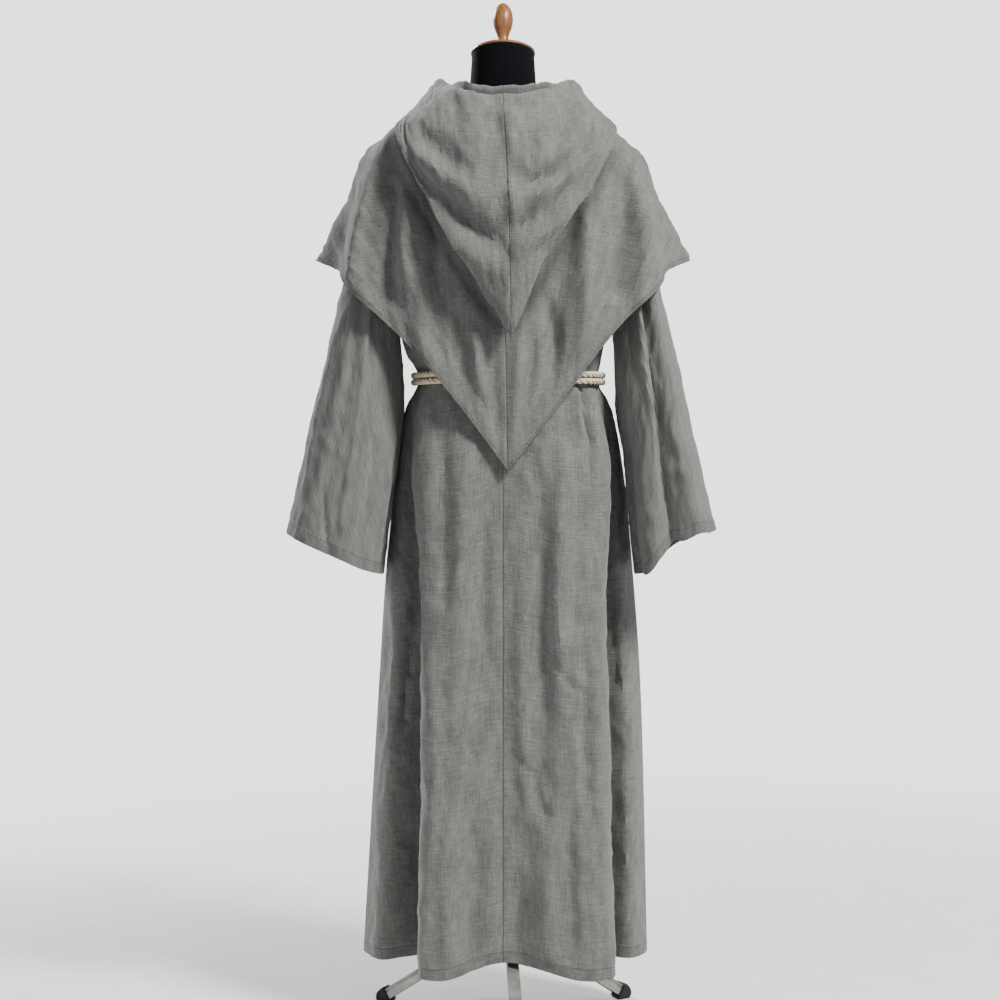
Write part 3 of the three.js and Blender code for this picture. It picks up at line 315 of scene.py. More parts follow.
CAPE_FRONT_CREASES = named(CREASE,
    ([(.05, 1.45), (.06, 1.36), (.056, 1.22)], .016, .0096, (.2, .1)),
    ([(.1, 1.44), (.118, 1.36), (.122, 1.24)], .014, -.008, (.2, .1)),
    ([(.15, 1.44), (.175, 1.36), (.19, 1.25)], .015, .0112, (.2, .1)),
    ([(.21, 1.42), (.235, 1.36), (.25, 1.28)], .012, -.0064, (.2, .1)),
    ([(-.045, 1.45), (-.052, 1.34), (-.06, 1.2)], .015, .008, (.2, .1)),
    ([(-.095, 1.44), (-.11, 1.34), (-.115, 1.22)], .016, .0096, (.2, .1)),
    ([(-.14, 1.44), (-.16, 1.36), (-.172, 1.24)], .013, -.0096, (.2, .1)),
    ([(-.2, 1.42), (-.225, 1.36), (-.24, 1.28)], .013, .008, (.2, .1)),
)
HOOD_CREASES = named(CREASE,
    ([(.145, 1.43), (.114, 1.38), (.066, 1.33), (0, 1.285), (-.035, 1.285)], .018, .0169, (.3, .25)),
    ([(.135, 1.36), (.095, 1.31), (.05, 1.27), (0, 1.245), (-.02, 1.24)], .014, -.0065, (.4, .2)),
    ([(.135, 1.5), (.131, 1.474), (.083, 1.426), (.045, 1.405)], .02, .013, (.3, .4)),
    ([(.15, 1.45), (.11, 1.415), (.06, 1.375), (.02, 1.36)], .015, -.0052, (.3, .3)),
    ([(.082, 1.55), (.08, 1.5), (.062, 1.46)], .012, .0052, (.2, .4)),
    ([(-.012, 1.52), (-.014, 1.46), (-.02, 1.42)], .017, -.0143, (.2, .3)),
    ([(-.114, 1.54), (-.093, 1.476), (-.07, 1.43)], .013, .0137, (.15, .4)),
    ([(-.15, 1.486), (-.115, 1.433), (-.08, 1.403), (-.045, 1.394), (-.012, 1.405)],
     .013, .0137, (.25, .2)),
    ([(-.135, 1.512), (-.108, 1.452), (-.075, 1.42)], .011, -.0115, (.2, .4)),
    ([(-.012, 1.39), (-.016, 1.36), (-.014, 1.33)], .013, -.0137, (.3, .3)),
    ([(-.155, 1.44), (-.106, 1.375), (-.062, 1.335), (-.012, 1.312), (.012, 1.312)], .015, .0158, (.3, .2)),
    ([(-.135, 1.45), (-.105, 1.402), (-.06, 1.37), (-.03, 1.36)], .011, -.0115, (.3, .2)),
    ([(-.13, 1.375), (-.09, 1.325), (-.045, 1.29), (-.01, 1.275)], .013, -.0137, (.3, .1)),
    ([(-.115, 1.345), (-.075, 1.296), (-.027, 1.262)], .011, .0115),
)
# on a sleeve a path is in degrees round it and metres down from the armhole
SLEEVE_REACH = .1               # metres to a radian there
SLEEVE_CREASES = dict(
    left=named(CREASE,
        ([(60, .1), (68, .25), (72, .45), (64, .62)], .014, .006, (.2, .3)),
        ([(80, .1), (86, .25), (96, .42), (100, .56)], .010, -.006, (.2, .3)),
        ([(112, .18), (122, .36), (128, .56), (130, .7)], .012, .005, (.3, .1)),
        ([(146, .2), (148, .4), (146, .6)], .01, -.005),
        ([(30, .3), (34, .46), (44, .62)], .013, -.006),
        ([(60, .48), (80, .55), (102, .62)], .01, .005),
        ([(250, .2), (256, .45), (262, .7)], .016, .01, (.2, .1)),
        ([(280, .25), (288, .45), (292, .66)], .012, -.007, (.3, .1)),
        ([(320, .3), (330, .42), (344, .5)], .01, .006),
    ),
    right=named(CREASE,
        ([(146, .15), (152, .36), (158, .6)], .01, .006, (.3, .2)),
        ([(60, .2), (66, .42), (62, .7)], .012, -.003, (.3, .1)),
        ([(36, .26), (40, .44), (36, .7)], .012, .003, (.3, .1)),
        ([(90, .35), (72, .45), (50, .5)], .009, .002),
        ([(250, .2), (256, .45), (260, .7)], .016, .01, (.2, .1)),
        ([(282, .25), (290, .45), (294, .66)], .012, -.007, (.3, .1)),
        ([(212, .3), (222, .5), (224, .64)], .012, .006),
    ),
)


# ---- curves and nets ----
def bell(x, width):
    return np.exp(-(x / width) ** 2)


def unit(x):
    """x held between 0 and 1."""
    return np.clip(x, 0, 1)


def circle(count):
    return np.linspace(0, 2 * math.pi, count, endpoint=False)


def run_of(path):
    """How far along a path each of its points lies."""
    return np.concatenate([[0], np.cumsum(norm(np.diff(path, axis=0), axis=1))])


def ahead_of(path, closed=True):
    """The direction of a path at each of its points."""
    ahead = np.roll(path, -1, axis=0) - np.roll(path, 1, axis=0)
    if not closed:
        ahead[0], ahead[-1] = path[1] - path[0], path[-1] - path[-2]
    return ahead / norm(ahead, axis=1, keepdims=True)


def smooth(points, per_span, twins=(False, False)):
    """Centripetal curves through points[k] for every column at once, per_span steps between two rows.
    twins says at which end a mirrored twin carries the curve on."""
    p = np.asarray(points, float)
    turn = np.array([-1, 1, 1])
    before = p[:1] + (p[1:2] - p[:1]) * (turn if twins[0] else -1)
    after = p[-1:] + (p[-2:-1] - p[-1:]) * (turn if twins[1] else -1)
    p = np.concatenate([before, p, after])
    gap = np.sqrt(norm(np.diff(p, axis=0), axis=-1, keepdims=True)).clip(1e-4)
    t = np.linspace(0, 1, per_span, endpoint=False).reshape((-1,) + (1,) * (p.ndim - 1))
    out = []
    for k in range(1, len(p) - 2):
        a, b, c, d = p[k - 1:k + 3]
        g0, g1, g2 = gap[k - 1:k + 2]
        start = ((b - a) / g0 - (c - a) / (g0 + g1) + (c - b) / g1) * g1
        end = ((c - b) / g1 - (d - b) / (g1 + g2) + (d - c) / g2) * g1
        out.append(b + start * t + (3 * (c - b) - 2 * start - end) * t ** 2
                   + (2 * (b - c) + start + end) * t ** 3)
    return np.concatenate([*out, p[-2:-1]])


def respaced(points, spacing, starts=(), ends=()):
    """Rows at an even spacing along the first axis, with extra ones near the start and the end."""
    step = norm(np.diff(points, axis=0), axis=-1).mean(axis=1)
    along = np.concatenate([[0], np.cumsum(step)])
    total = along[-1]
    even = np.linspace(0, total, max(3, round(total / spacing)) + 1)
    extra = np.concatenate([starts, total - np.asarray(ends)])
    keep = [e for e in even[1:-1] if len(extra) == 0 or np.abs(extra - e).min() > .35 * spacing]
    want = np.sort(np.concatenate([[0, total], keep, extra]))
    at = np.interp(want, along, np.arange(len(along)))
    low = np.minimum(at.astype(int), len(along) - 2)
    part = (at - low).reshape((-1, 1, 1))
    return points[low] * (1 - part) + points[low + 1] * part


def gridded(net, spacing, rows=((), ()), columns=((), ())):
    """A net with its rows and then its columns respaced, with extra ones near their starts and ends."""
    return respaced(respaced(net, spacing, *rows).transpose(1, 0, 2), spacing, *columns).transpose(1, 0, 2)


def crossed(lines, twins=(False, False)):
    """A net from its lengthwise lines: rows from the lines' points, columns by smooth curves across."""
    return smooth(np.stack(lines), ACROSS, twins).transpose(1, 0, 2)


def mirrored(points):
    return points * np.array([-1, 1, 1])


def armhole_edge(z, half):
    low, high = ARMHOLE["z"]
    share = unit((np.asarray(z, float) - low) / (high - low))
    across = np.sqrt(np.maximum(0, 1 - (2 * share - 1) ** 2))
    x = ARMHOLE["x"][0] + (ARMHOLE["x"][1] - ARMHOLE["x"][0]) * share
    return np.stack([x, half * ARMHOLE["depth"] * across, z], axis=-1)


def fold_line(table, fold, last):
    return smooth([*((*row[fold], row["z"])[:3] for row in table), last], ALONG)


def side_line(table, last, half):
    """The edge of a robe half: its side seam, and above it one side of the armhole."""
    sewn = [(*row["side"], row["z"]) for row in table if "side" in row]
    under = armhole_edge(ARMHOLE["z"][0], half)
    seam = smooth([*sewn, (under[0], 0, under[2])], ALONG)
    heights = [row["z"] for row in table if "side" not in row] + [ARMHOLE["z"][1]]
    z = np.interp(np.arange(1, (len(heights) - 1) * ALONG + 1) / ALONG, np.arange(len(heights)), heights)
    edge = armhole_edge(z, half)
    edge[-1] = last
    return np.concatenate([seam, edge])


def robe_back(table):
    lines = [fold_line(table, fold, last) for fold, last in zip(BACK_FOLDS.split(), SHOULDER_BACK)]
    return crossed([*lines, side_line(table, SHOULDER_BACK[-1], 1)], (True, False))


def robe_front():
    inner = [fold_line(ROBE_FRONT, *ends) for ends in zip(FRONT_FOLDS.split(), SHOULDER_FRONT[1:])]
    left, right = ([side_line(table, SHOULDER_FRONT[0], -1), *inner]
                   for table in (ROBE_BACK_LEFT, ROBE_BACK_RIGHT))
    return crossed([*left, *(mirrored(line) for line in right[-2::-1])])


def half_net(table, levels, wider, right):
    """One half of a piece whose first and last lines lie on its centre seam."""
    lines = []
    for row in table:
        points = np.array([row[level] for level in levels.split()], float)
        if right:
            points[-1, 2] -= row.get("drop", 0)
            if row not in (table[0], table[-1]):
                points[:, 0] *= -wider
        lines.append(smooth(points, ALONG))
    return crossed(lines)


def sleeve(table, folds, ridge, steps=160):
    """Rows from armhole to cuff; columns round the sleeve, from its inner line back to the inner line."""
    low, high = ((x + ARMHOLE_GAP, z) for x, z in zip(ARMHOLE["x"], ARMHOLE["z"]))
    sections = [dict(inner=low, outer=high, depth=ARMHOLE["depth"], y=0), *table]

    def line(pick):
        dense = smooth([pick(s) for s in sections], 40)
        at = np.linspace(0, len(dense) - 1, steps + 1)
        k = np.minimum(at.astype(int), len(dense) - 2)
        return dense[k] + (dense[k + 1] - dense[k]) * (at - k)[:, None]

    inner = line(lambda s: (s["inner"][0], s["y"], s["inner"][1]))
    outer = line(lambda s: (s["outer"][0], s["y"], s["outer"][1]))
    depth = line(lambda s: (s["depth"], 0, s["outer"][1]))[:, 0]
    share = (np.arange(steps + 1) / steps)[:, None]
    angle = np.linspace(180, 540, SLEEVE_AROUND + 1)[None, :] % 360
    turn = np.radians(angle)
    middle, across = (inner + outer) / 2, (outer - inner) / 2

    def off(at):
        return (angle - at + 180) % 360 - 180

    def near(fold):
        return bell(off(fold["at"]), fold["width"])

    grown = np.minimum(1, share * 3)
    out = sum(near(f) * (f["head"] + (f["cuff"] - f["head"]) * share) for f in folds) * grown
    corner = 0
    if ridge:
        past = off(ridge["at"][0] + (ridge["at"][1] - ridge["at"][0]) * share)
        step = np.tanh(past / ridge["width"]) * bell(past, np.where(past > 0, *ridge["reach"]))
        out = out + ridge["height"] * step * unit(share * ridge["grow"])
        corner_at, corner_width, corner_depth = ridge["corner"]
        corner = corner_depth * bell(angle - corner_at, corner_width) * grown
    lift = sum(near(f) * f["lift"] for f in folds) * share ** 4
    points = middle[:, None] + across[:, None] * np.cos(turn)[..., None]
    away = across / norm(across, axis=1, keepdims=True)
    away = away[:, None] * np.cos(turn)[..., None]
    away[..., 1] = np.sin(turn)
    points[..., 1] += np.sin(turn) * depth[:, None] + corner
    points[..., 2] += lift
    return points + away * out[..., None]


# ---- creases and crumples ----
def normals_of(net):
    n = np.cross(np.gradient(net, axis=0), np.gradient(net, axis=1))
    return n / norm(n, axis=2, keepdims=True).clip(1e-12)


def seamed_normals(net, away):
    """Normals that lie in the middle plane at a centre seam, so that both halves move alike there."""
    n = normals_of(net)
    n[..., 0] *= unit(away / .012)
    return n / norm(n, axis=2, keepdims=True)


def lengths(net, axis):
    step = norm(np.diff(net, axis=axis), axis=2)
    zero = np.zeros_like(np.take(step, [0], axis=axis))
    return np.cumsum(np.concatenate([zero, step], axis=axis), axis=axis)


def crease(x, y, path, width, depth, fade=(.3, .3)):
    """A soft trough along a path in two coordinates: a negative depth is a ridge, and fade says over
    what share of its length it dies away at each end."""
    path = np.asarray(path, float)
    piece = norm(np.diff(path, axis=0), axis=1)
    total, done = piece.sum(), 0.0
    best, along = np.full(x.shape, 1e9), np.zeros(x.shape)
    for a, b, size in zip(path[:-1], path[1:], piece):
        d = (b - a) / size
        t = np.clip((x - a[0]) * d[0] + (y - a[1]) * d[1], 0, size)
        off = np.hypot(x - a[0] - t * d[0], y - a[1] - t * d[1])
        nearer = off < best
        best = np.where(nearer, off, best)
        along = np.where(nearer, (done + t) / total, along)
        done += size
    start, end = unit(along / fade[0]), unit((1 - along) / fade[1])
    return -depth * bell(best, width) * (start * end) ** .7


def rippled(u, v, seed, size, height, ridged=False):
    """Low noise over the cloth: size is how far apart its ups are across and along."""
    flat = np.stack([u / size[0], v / size[1]], axis=-1).reshape(-1, 2)
    values = np.array([noise.noise((a, b, seed)) for a, b in flat]).reshape(u.shape)
    return height * ((.35 - np.abs(values)) * 2 if ridged else values)


def crumpled(u, v, seed):
    """Two soft swells and two sets of fine ridges, which run a little across the threads."""
    return (rippled(u, v, seed, (.05, .19), SWELL) + rippled(u, v, seed + 7.3, (.11, .13), SWELL * .7)
            + rippled(u + .3 * v, v, seed + 3.1, (.03, .055), WRINKLE, True)
            + rippled(u - .4 * v, v, seed + 5.7, (.018, .04), WRINKLE * .55, True))


# ---- materials ----
class Nodes:
    """Adds and links the shader nodes of a material or of the world."""

    def __init__(self, owner, shader="Principled BSDF", **settings):
        owner.use_nodes = True
        self.owner, self.tree = owner, owner.node_tree
        self.shader = self.tree.nodes[shader]
        for key, value in settings.items():
            self.put(self.shader.inputs[key.replace("_", " ")], value)

    def put(self, socket, value):
        if isinstance(value, bpy.types.NodeSocket):
            self.tree.links.new(value, socket)
        else:
            socket.default_value = value

    def add(self, kind, inputs=(), **settings):
        node = self.tree.nodes.new("ShaderNode" + kind)
        for key, value in settings.items():
            setattr(node, key, value)
        for key, value in dict(inputs).items():
            self.put(node.inputs[key], value)
        return node

    def math(self, operation, first, *others):
        """The values taken together by one operation, from the left."""
        for value in others:
            first = self.add("Math", {0: first, 1: value}, operation=operation).outputs[0]
        return first

    def attribute(self, name, output="Vector"):
        return self.add("Attribute", attribute_name=name).outputs[output]

    def place(self):
        return self.add("TexCoord").outputs["Object"]

    def noise(self, vector, scale, detail=2.0, rough=.5, shift=(0, 0, 0)):
        placed = self.add("Mapping", {"Vector": vector, "Scale": scale, "Location": shift}).outputs[0]
        return self.add("TexNoise", {"Vector": placed, "Scale": 1.0, "Detail": detail,
                                     "Roughness": rough}).outputs[0]

    def ranged(self, value, low, high, to_low=0.0, to_high=1.0):
        return self.add("MapRange", {"Value": value, "From Min": low, "From Max": high,
                                     "To Min": to_low, "To Max": to_high}).outputs[0]

    def mix(self, share, a, b, blend="MIX"):
        a, b = (value if isinstance(value, bpy.types.NodeSocket) else (*value, 1) for value in (a, b))
        return self.add("Mix", {0: share, 6: a, 7: b}, data_type="RGBA", blend_type=blend).outputs[2]

    def tones(self, value, low, high, first, second):
        """One colour turning into another as a value goes from low to high."""
        return self.mix(self.ranged(value, low, high), first, second)

    def surface(self, colour, height, distance, strength, rough=None):
        self.put(self.shader.inputs["Base Color"], colour)
        if rough:
            self.put(self.shader.inputs["Roughness"], rough)
        bump = self.add("Bump", {"Height": height, "Distance": distance, "Strength": strength})
        self.put(self.shader.inputs["Normal"], bump.outputs[0])
        return self.owner


def material(name, **settings):
    return Nodes(bpy.data.materials.new(name), **settings)


def linen():
    """Slubbed plain weave: threads run along the cloth's two coordinates, some thicker and paler."""
    n = material("linen", Roughness=.93, Sheen_Weight=.18, Sheen_Roughness=.55, Specular_IOR_Level=.18)
    cloth = n.attribute("cloth")
    weft = n.noise(cloth, (34, 500, 1), 3, .6)
    warp = n.noise(cloth, (470, 28, 1), 3, .6, (3.1, 1.7, 0))
    fine_weft = n.noise(cloth, (110, 1500, 1), 2, .5, (7.7, 4.2, 0))
    fine_warp = n.noise(cloth, (1400, 95, 1), 2, .5, (1.3, 9.1, 0))

    def thick(scale, shift):
        return n.ranged(n.noise(cloth, scale, 1, .5, shift), .6, .72)

    slubs = n.math("MAXIMUM", thick((30, 400, 1), (5.5, 2.2, 0)), thick((380, 26, 1), (8.8, 6.1, 0)))
    dark = thick((34, 330, 1), (1.5, 8.2, 0))
    mottle = n.noise(cloth, (58, 15, 1), 4, .6, (2.2, 5.8, 0))
    yarn = n.math("ADD", n.math("MULTIPLY", weft, .29), n.math("MULTIPLY", warp, .27),
                  n.math("MULTIPLY", n.math("ADD", fine_weft, fine_warp), .22))
    # trim's third value is painted shade: the share by which the colour is darkened beside the hood's edges
    # and along its collar line
    hem, seam, painted_shade = n.add("SeparateXYZ", {0: n.attribute("trim")}).outputs
    stitch = n.math("ABSOLUTE", n.math("SUBTRACT", hem, HEM - .0008), 0)
    # the stitch and seam lines darken the cloth and dent it, and the painted shade is taken in with them
    stitches_and_painted_shade = n.math("MAXIMUM", n.math("MULTIPLY", n.ranged(stitch, .0004, .0012, 1, 0), .3),
                   n.math("MULTIPLY", n.ranged(seam, .0004, .0012, 1, 0), .5), painted_shade)
    tone = n.math("MULTIPLY", n.ranged(yarn, .4, .6, .66, 1.3), n.ranged(mottle, .35, .65, .86, 1.14),
                  n.ranged(dark, 0, 1, 1, .86), n.ranged(slubs, 0, 1, 1, 1.14),
                  n.ranged(hem, HEM - .001, HEM, .86, 1), n.math("SUBTRACT", 1.0, stitches_and_painted_shade))
    hue = n.tones(n.noise(cloth, (34, 210, 1), 2, .5, (4.4, 3.3, 0)), .35, .65,
                  (.128, .134, .122), (.146, .148, .144))
    grey = n.add("CombineXYZ", {0: tone, 1: tone, 2: tone}).outputs[0]
    crinkle = n.noise(cloth, (60, 42, 1), 5, .6, (6.6, 1.1, 0))
    height = n.math("ADD", yarn, n.math("MULTIPLY", slubs, .35), n.math("MULTIPLY", crinkle, 1.6))
    height = n.math("SUBTRACT", height, n.math("MULTIPLY", stitches_and_painted_shade, .8))
    return n.surface(n.mix(1.0, hue, grey, "MULTIPLY"), height, .0011, .85)


def cotton_rope():
    n = material("rope", Roughness=.88, Sheen_Weight=.2, Specular_IOR_Level=.2)
    lay = n.attribute("cloth")
    fibre = n.noise(lay, (900, 90, 1), 3, .6)
    blotch = n.ranged(n.noise(lay, (60, 25, 1), 2), .4, .7, 0, .35)
    cream = n.tones(fibre, .35, .65, (.64, .52, .36), (.84, .74, .57))
    cream = n.mix(blotch, cream, (.66, .55, .40))
    # painted shade: the grooves between the strands are coloured dark brown, the strands' crests cream
    return n.surface(n.tones(n.attribute("crest", "Fac"), .3, .75, (.24, .18, .115), cream), fibre, .0006, .7)


def jersey():
    n = material("cover", Roughness=.95, Sheen_Weight=.03, Specular_IOR_Level=.08)
    rib = n.noise(n.place(), (900, 900, 260), 2)
    return n.surface(n.tones(rib, .35, .65, (.0012, .0015, .0022), (.0035, .004, .0055)), rib, .0005, .6)


def turned_wood():
    n = material("wood", Roughness=.4, Coat_Weight=.2, Coat_Roughness=.22, Specular_IOR_Level=.35)
    grain = n.noise(n.place(), (260, 260, 14), 4, .6)
    wide = n.ranged(n.noise(n.place(), (70, 70, 6), 2), .4, .65, 0, .5)
    tone = n.tones(grain, .35, .65, (.155, .058, .017), (.28, .118, .04))
    return n.surface(n.mix(wide, tone, (.25, .10, .036)), grain, .0002, .4)


def stand_metal():
    n = material("metal", Metallic=.85, Roughness=.38)
    brushed = n.noise(n.place(), (700, 700, 60), 3)
    tone = n.tones(n.noise(n.place(), (35, 35, 35), 4), .4, .65, (.30, .30, .285), (.48, .48, .46))
    return n.surface(tone, brushed, .0001, .3, n.ranged(brushed, .3, .7, .3, .5))


def moulded_rubber():
    n = material("rubber", Roughness=.7, Specular_IOR_Level=.4)
    grit = n.noise(n.place(), (600, 600, 600), 3)
    dust = n.noise(n.place(), (50, 50, 50), 4)
    tone = n.tones(dust, .45, .7, (.008, .008, .009), (.022, .021, .02))
    return n.surface(tone, grit, .0003, .5, n.ranged(grit, .3, .7, .55, .8))


MATERIALS = dict(linen=linen(), rope=cotton_rope(), cover=jersey(), wood=turned_wood(),
                 metal=stand_metal(), rubber=moulded_rubber())


# ---- objects ----
def linked(name, data):
    obj = bpy.data.objects.new(name, data)
    bpy.context.collection.objects.link(obj)
    return obj


def make(name, vertices, faces, slot, **attributes):
    mesh = bpy.data.meshes.new(name)
    moved = np.asarray(vertices, float).reshape(-1, 3) + np.array(POLE)
    mesh.from_pydata(moved.tolist(), [], faces)
    for key, values in attributes.items():
        kind = "FLOAT_VECTOR" if np.ndim(values) == 2 else "FLOAT"
        layer = mesh.attributes.new(key, kind, "POINT")
        layer.data.foreach_set("vector" if kind == "FLOAT_VECTOR" else "value",
                               np.asarray(values, np.float32).ravel())
    mesh.materials.append(MATERIALS[slot])
    mesh.validate()
    mesh.shade_smooth()
    mesh.set_sharp_from_angle(angle=math.radians(50))
    obj = linked(name, mesh)
    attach(obj, "root")
    return obj


def shell(name, net, side, cloth, trim):
    """A closed thin shell whose outside is the net; side is 1 where the net's own normals point out."""
    rows, cols = net.shape[:2]
    inner = net - normals_of(net) * side * CLOTH
    index = np.arange(rows * cols).reshape(rows, cols)
    outside = np.stack([index[:-1, :-1], index[1:, :-1], index[1:, 1:], index[:-1, 1:]], axis=-1)
    outside = outside.reshape(-1, 4)
    rim = np.concatenate([index[0, :], index[1:, -1], index[-1, -2::-1], index[-2:0:-1, 0]])
    after = np.roll(rim, -1)
    edge = np.stack([rim, after, after + rows * cols, rim + rows * cols], axis=-1)
    faces = np.concatenate([outside, outside[:, ::-1] + rows * cols, edge])[:, ::side]
    cloth, trim = (np.concatenate([values.reshape(rows * cols, -1)] * 2) for values in (cloth, trim))
    return make(name, np.concatenate([net.reshape(-1, 3), inner.reshape(-1, 3)]), faces.tolist(), "linen",
                cloth=cloth, trim=trim)


def area_of(net):
    a = np.cross(net[1:, :-1] - net[:-1, :-1], net[1:, 1:] - net[:-1, :-1])
    b = np.cross(net[1:, 1:] - net[:-1, :-1], net[:-1, 1:] - net[:-1, :-1])
    return float((norm(a, axis=2) + norm(b, axis=2)).sum() / 2)


# ---- camera ----
def make_camera():
    data = bpy.data.cameras.new("camera")
    data.sensor_width = 36
    data.lens = data.sensor_width * CAMERA["distance"] / CAMERA["width"]
    data.shift_x, data.shift_y = CAMERA["shift"]
    data.clip_end = 50
    camera = linked("camera", data)
    camera.location = POLE + Vector((0, CAMERA["distance"], CAMERA["height"]))
    camera.rotation_euler = (math.radians(90), 0, math.radians(180))
    bpy.context.scene.camera = camera


make_camera()


# ---- rope ----
def carried(path, first, closed):
    """Two cross directions at each point of a path, turned as little as they can be."""
    ahead = ahead_of(path, closed)
    side = [np.asarray(first, float)]
    for t in ahead:
        s = side[-1] - t * side[-1].dot(t)
        side.append(s / norm(s))
    side = np.array(side[1:])
    return side, np.cross(ahead, side)


def stranded(path, first, closed, splay):
    """Strands laid round a path: vertices, faces, their lay coordinates and how proud they are."""
    r, pitch, n = ROPE["r"], ROPE["pitch"], len(path)
    side, other = carried(path, first, closed)
    run = run_of(path)
    drift, total, last = 0, 1, n - 1
    if closed:
        total, last = run[-1] + norm(path[0] - path[-1]), n
        pitch = total / round(total / pitch)
        drift = math.atan2(side[0].dot(other[-1]), side[0].dot(side[-1]))
    vertices, faces, lay, crest = [], [], [], []

    def out_at(angle):
        return side * np.cos(angle)[:, None] + other * np.sin(angle)[:, None]

    for k in range(STRANDS):
        turn = 2 * math.pi * (run / pitch + k / STRANDS) + drift * run / total
        middle = path + out_at(turn) * np.reshape(r * STRAND_OUT + splay, (-1, 1))
        for j in range(STRAND_SIDES):
            ring = middle + r * STRAND_R * out_at(turn + 2 * math.pi * j / STRAND_SIDES)
            vertices.append(ring)
            lay.append(np.stack([np.full(n, j / STRAND_SIDES * .016 + k * .03), run + .35 * j * .0018,
                                 np.zeros(n)], axis=1))
            # how proud the point stands, by which the rope's material paints shade into the grooves
            crest.append(norm(ring - path, axis=1) / r)
        index = k * n * STRAND_SIDES + np.arange(STRAND_SIDES * n).reshape(STRAND_SIDES, n)
        beside = np.roll(index, -1, axis=0)
        quads = [index, beside, np.roll(beside, -1, axis=1), np.roll(index, -1, axis=1)]
        faces += np.stack(quads, axis=-1)[:, :last].reshape(-1, 4).tolist()
        if not closed:
            faces += [index[::-1, 0].tolist(), index[:, -1].tolist()]
    return np.concatenate(vertices), faces, np.concatenate(lay), np.concatenate(crest)


def rope_piece(name, path, first, closed=False, splay=0):
    vertices, faces, lay, crest = stranded(path, first, closed, splay)
    return make(name, vertices, faces, "rope", cloth=lay, crest=crest)


def even_path(points, spacing):
    return respaced(smooth(points, 30)[:, None, :], spacing)[:, 0]


knot_low, knot_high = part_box("rope_knot")
KNOT_AT = (knot_low + knot_high) / 2 - POLE
KNOT_HALF = (knot_high - knot_low) / 2


def make_rope_end(name, sign):
    """One hanging end, with the knot and tail at its foot."""
    top = KNOT_AT.z - KNOT_HALF.z - ROPE["gap"]
    route = [(sign * row["x"], KNOT_AT.y - row["out"], top - row["share"] * ROPE_END[name])
             for row in ROPE_FALL]
    path = even_path(route, ROPE["step"])
    end = rope_piece("rope_fall_" + name, path, (1, 0, 0))
    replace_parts(end, "rope_end_" + name)
    foot = path[-1]
    height, tail_length, wraps = END_KNOT["height"], END_KNOT["tail"], END_KNOT["wraps"]
    turn = np.linspace(0, 1, 40)
    r = (END_KNOT["r"] - ROPE["r"]) * np.sin(math.pi * turn) ** .35
    coil = np.stack([r * np.cos(2 * math.pi * wraps * turn), r * np.sin(2 * math.pi * wraps * turn),
                     -.005 - (height - .010) * turn], axis=1)
    tail = [(0, 0, -height - tail_length * t) for t in (.05, .35, .7, 1)]
    route = foot + np.concatenate([[(0, 0, -END_KNOT["gap"])], coil[1:-1], tail])
    route = even_path(route, END_KNOT["step"])
    below = unit((route[:, 2] - foot[2] + height + tail_length * .45) / (-tail_length * .55))
    knot = rope_piece("rope_tip_" + name, route, (1, 0, 0), splay=END_KNOT["splay"] * below ** 2)
    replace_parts(knot, "rope_end_knot_" + name)
    length = float(run_of(path)[-1])


def make_rope_knot():
    """The belt's knot: one rope passed over and under itself and drawn tight."""
    t = circle(120)
    path = np.stack([np.sin(t) + 2 * np.sin(2 * t), np.sin(3 * t), np.cos(t) - 2 * np.cos(2 * t)], axis=1)
    path -= (path.max(axis=0) + path.min(axis=0)) / 2
    path *= (np.array(KNOT_HALF) - ROPE["r"]) / path.max(axis=0)
    knot = rope_piece("rope_belt_knot", path + np.array(KNOT_AT), (0, 1, 0), closed=True)
    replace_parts(knot, "rope_knot")


make_rope_end("left", 1)
make_rope_end("right", -1)
make_rope_knot()


# ---- cloth ----
class Sheet:
    """A cloth piece in the making. side is 1 where the net's own normals point out, u and v are lengths
    across and along the cloth, and gap is how far the nearer of its two long edges lies."""

    def __init__(self, name, net, side):
        self.name, self.net, self.side, self.area = name, net, side, area_of(net)
        self.flat, self.held, self.rests_on, self.seed = CUT[name]
        self.u, self.v = lengths(net, 1), lengths(net, 0)
        self.gap = np.minimum(self.u, self.u[:, -1:] - self.u)

    def crumples(self, away, fade=.02):
        return crumpled(self.u, self.v, self.seed) * unit(away / fade)

    def work(self, d, away=1.0):
        self.net = self.net + seamed_normals(self.net, away) * (self.side * d)[..., None]

    def finish(self, u, v, hem, seam, painted_shade=0):
        """u and v lay the weave, hem and seam say how far each lies, and painted_shade by how much painted
        shade darkens the colour there.
        """
        one = np.ones_like(self.u)
        cloth = np.stack([u, v, one * list(CUT).index(self.name)], axis=-1)
        trim = np.stack([hem * one, seam * one, painted_shade * one], axis=-1)
        piece = shell("cloth_" + self.name, self.net, self.side, cloth, trim)
        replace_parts(piece, self.name)


def seen_creases(net, rows, facing, away=1.0):
    """Creases placed in x and z, on the stretches of a net that face the given way along Y."""
    n = seamed_normals(net, away)
    total = sum(crease(net[..., 0], net[..., 2], **row) for row in rows)
    return total * unit(np.abs(n[..., 1]) * 1.6) * (net[..., 1] * facing > 0)


def groove(away, depth=.0006, width=.0016):
    return -depth * bell(away, width)


def unrolled(net):
    """Flat coordinates of a fanned piece: its threads stay parallel to its first column."""
    down = lengths(net, 0)
    top = norm(np.diff(net[0], axis=0), axis=1)
    middle = net.shape[0] * 2 // 3
    low = norm(np.diff(net[middle], axis=0), axis=1)
    span = down[middle].mean()
    turn = np.concatenate([[0], np.cumsum(np.clip((low - top) / span, 0, .2))])
    reach = top.sum() / max(turn[-1], .3) + down
    return reach * np.sin(turn)[None, :], reach * np.cos(turn)[None, :]


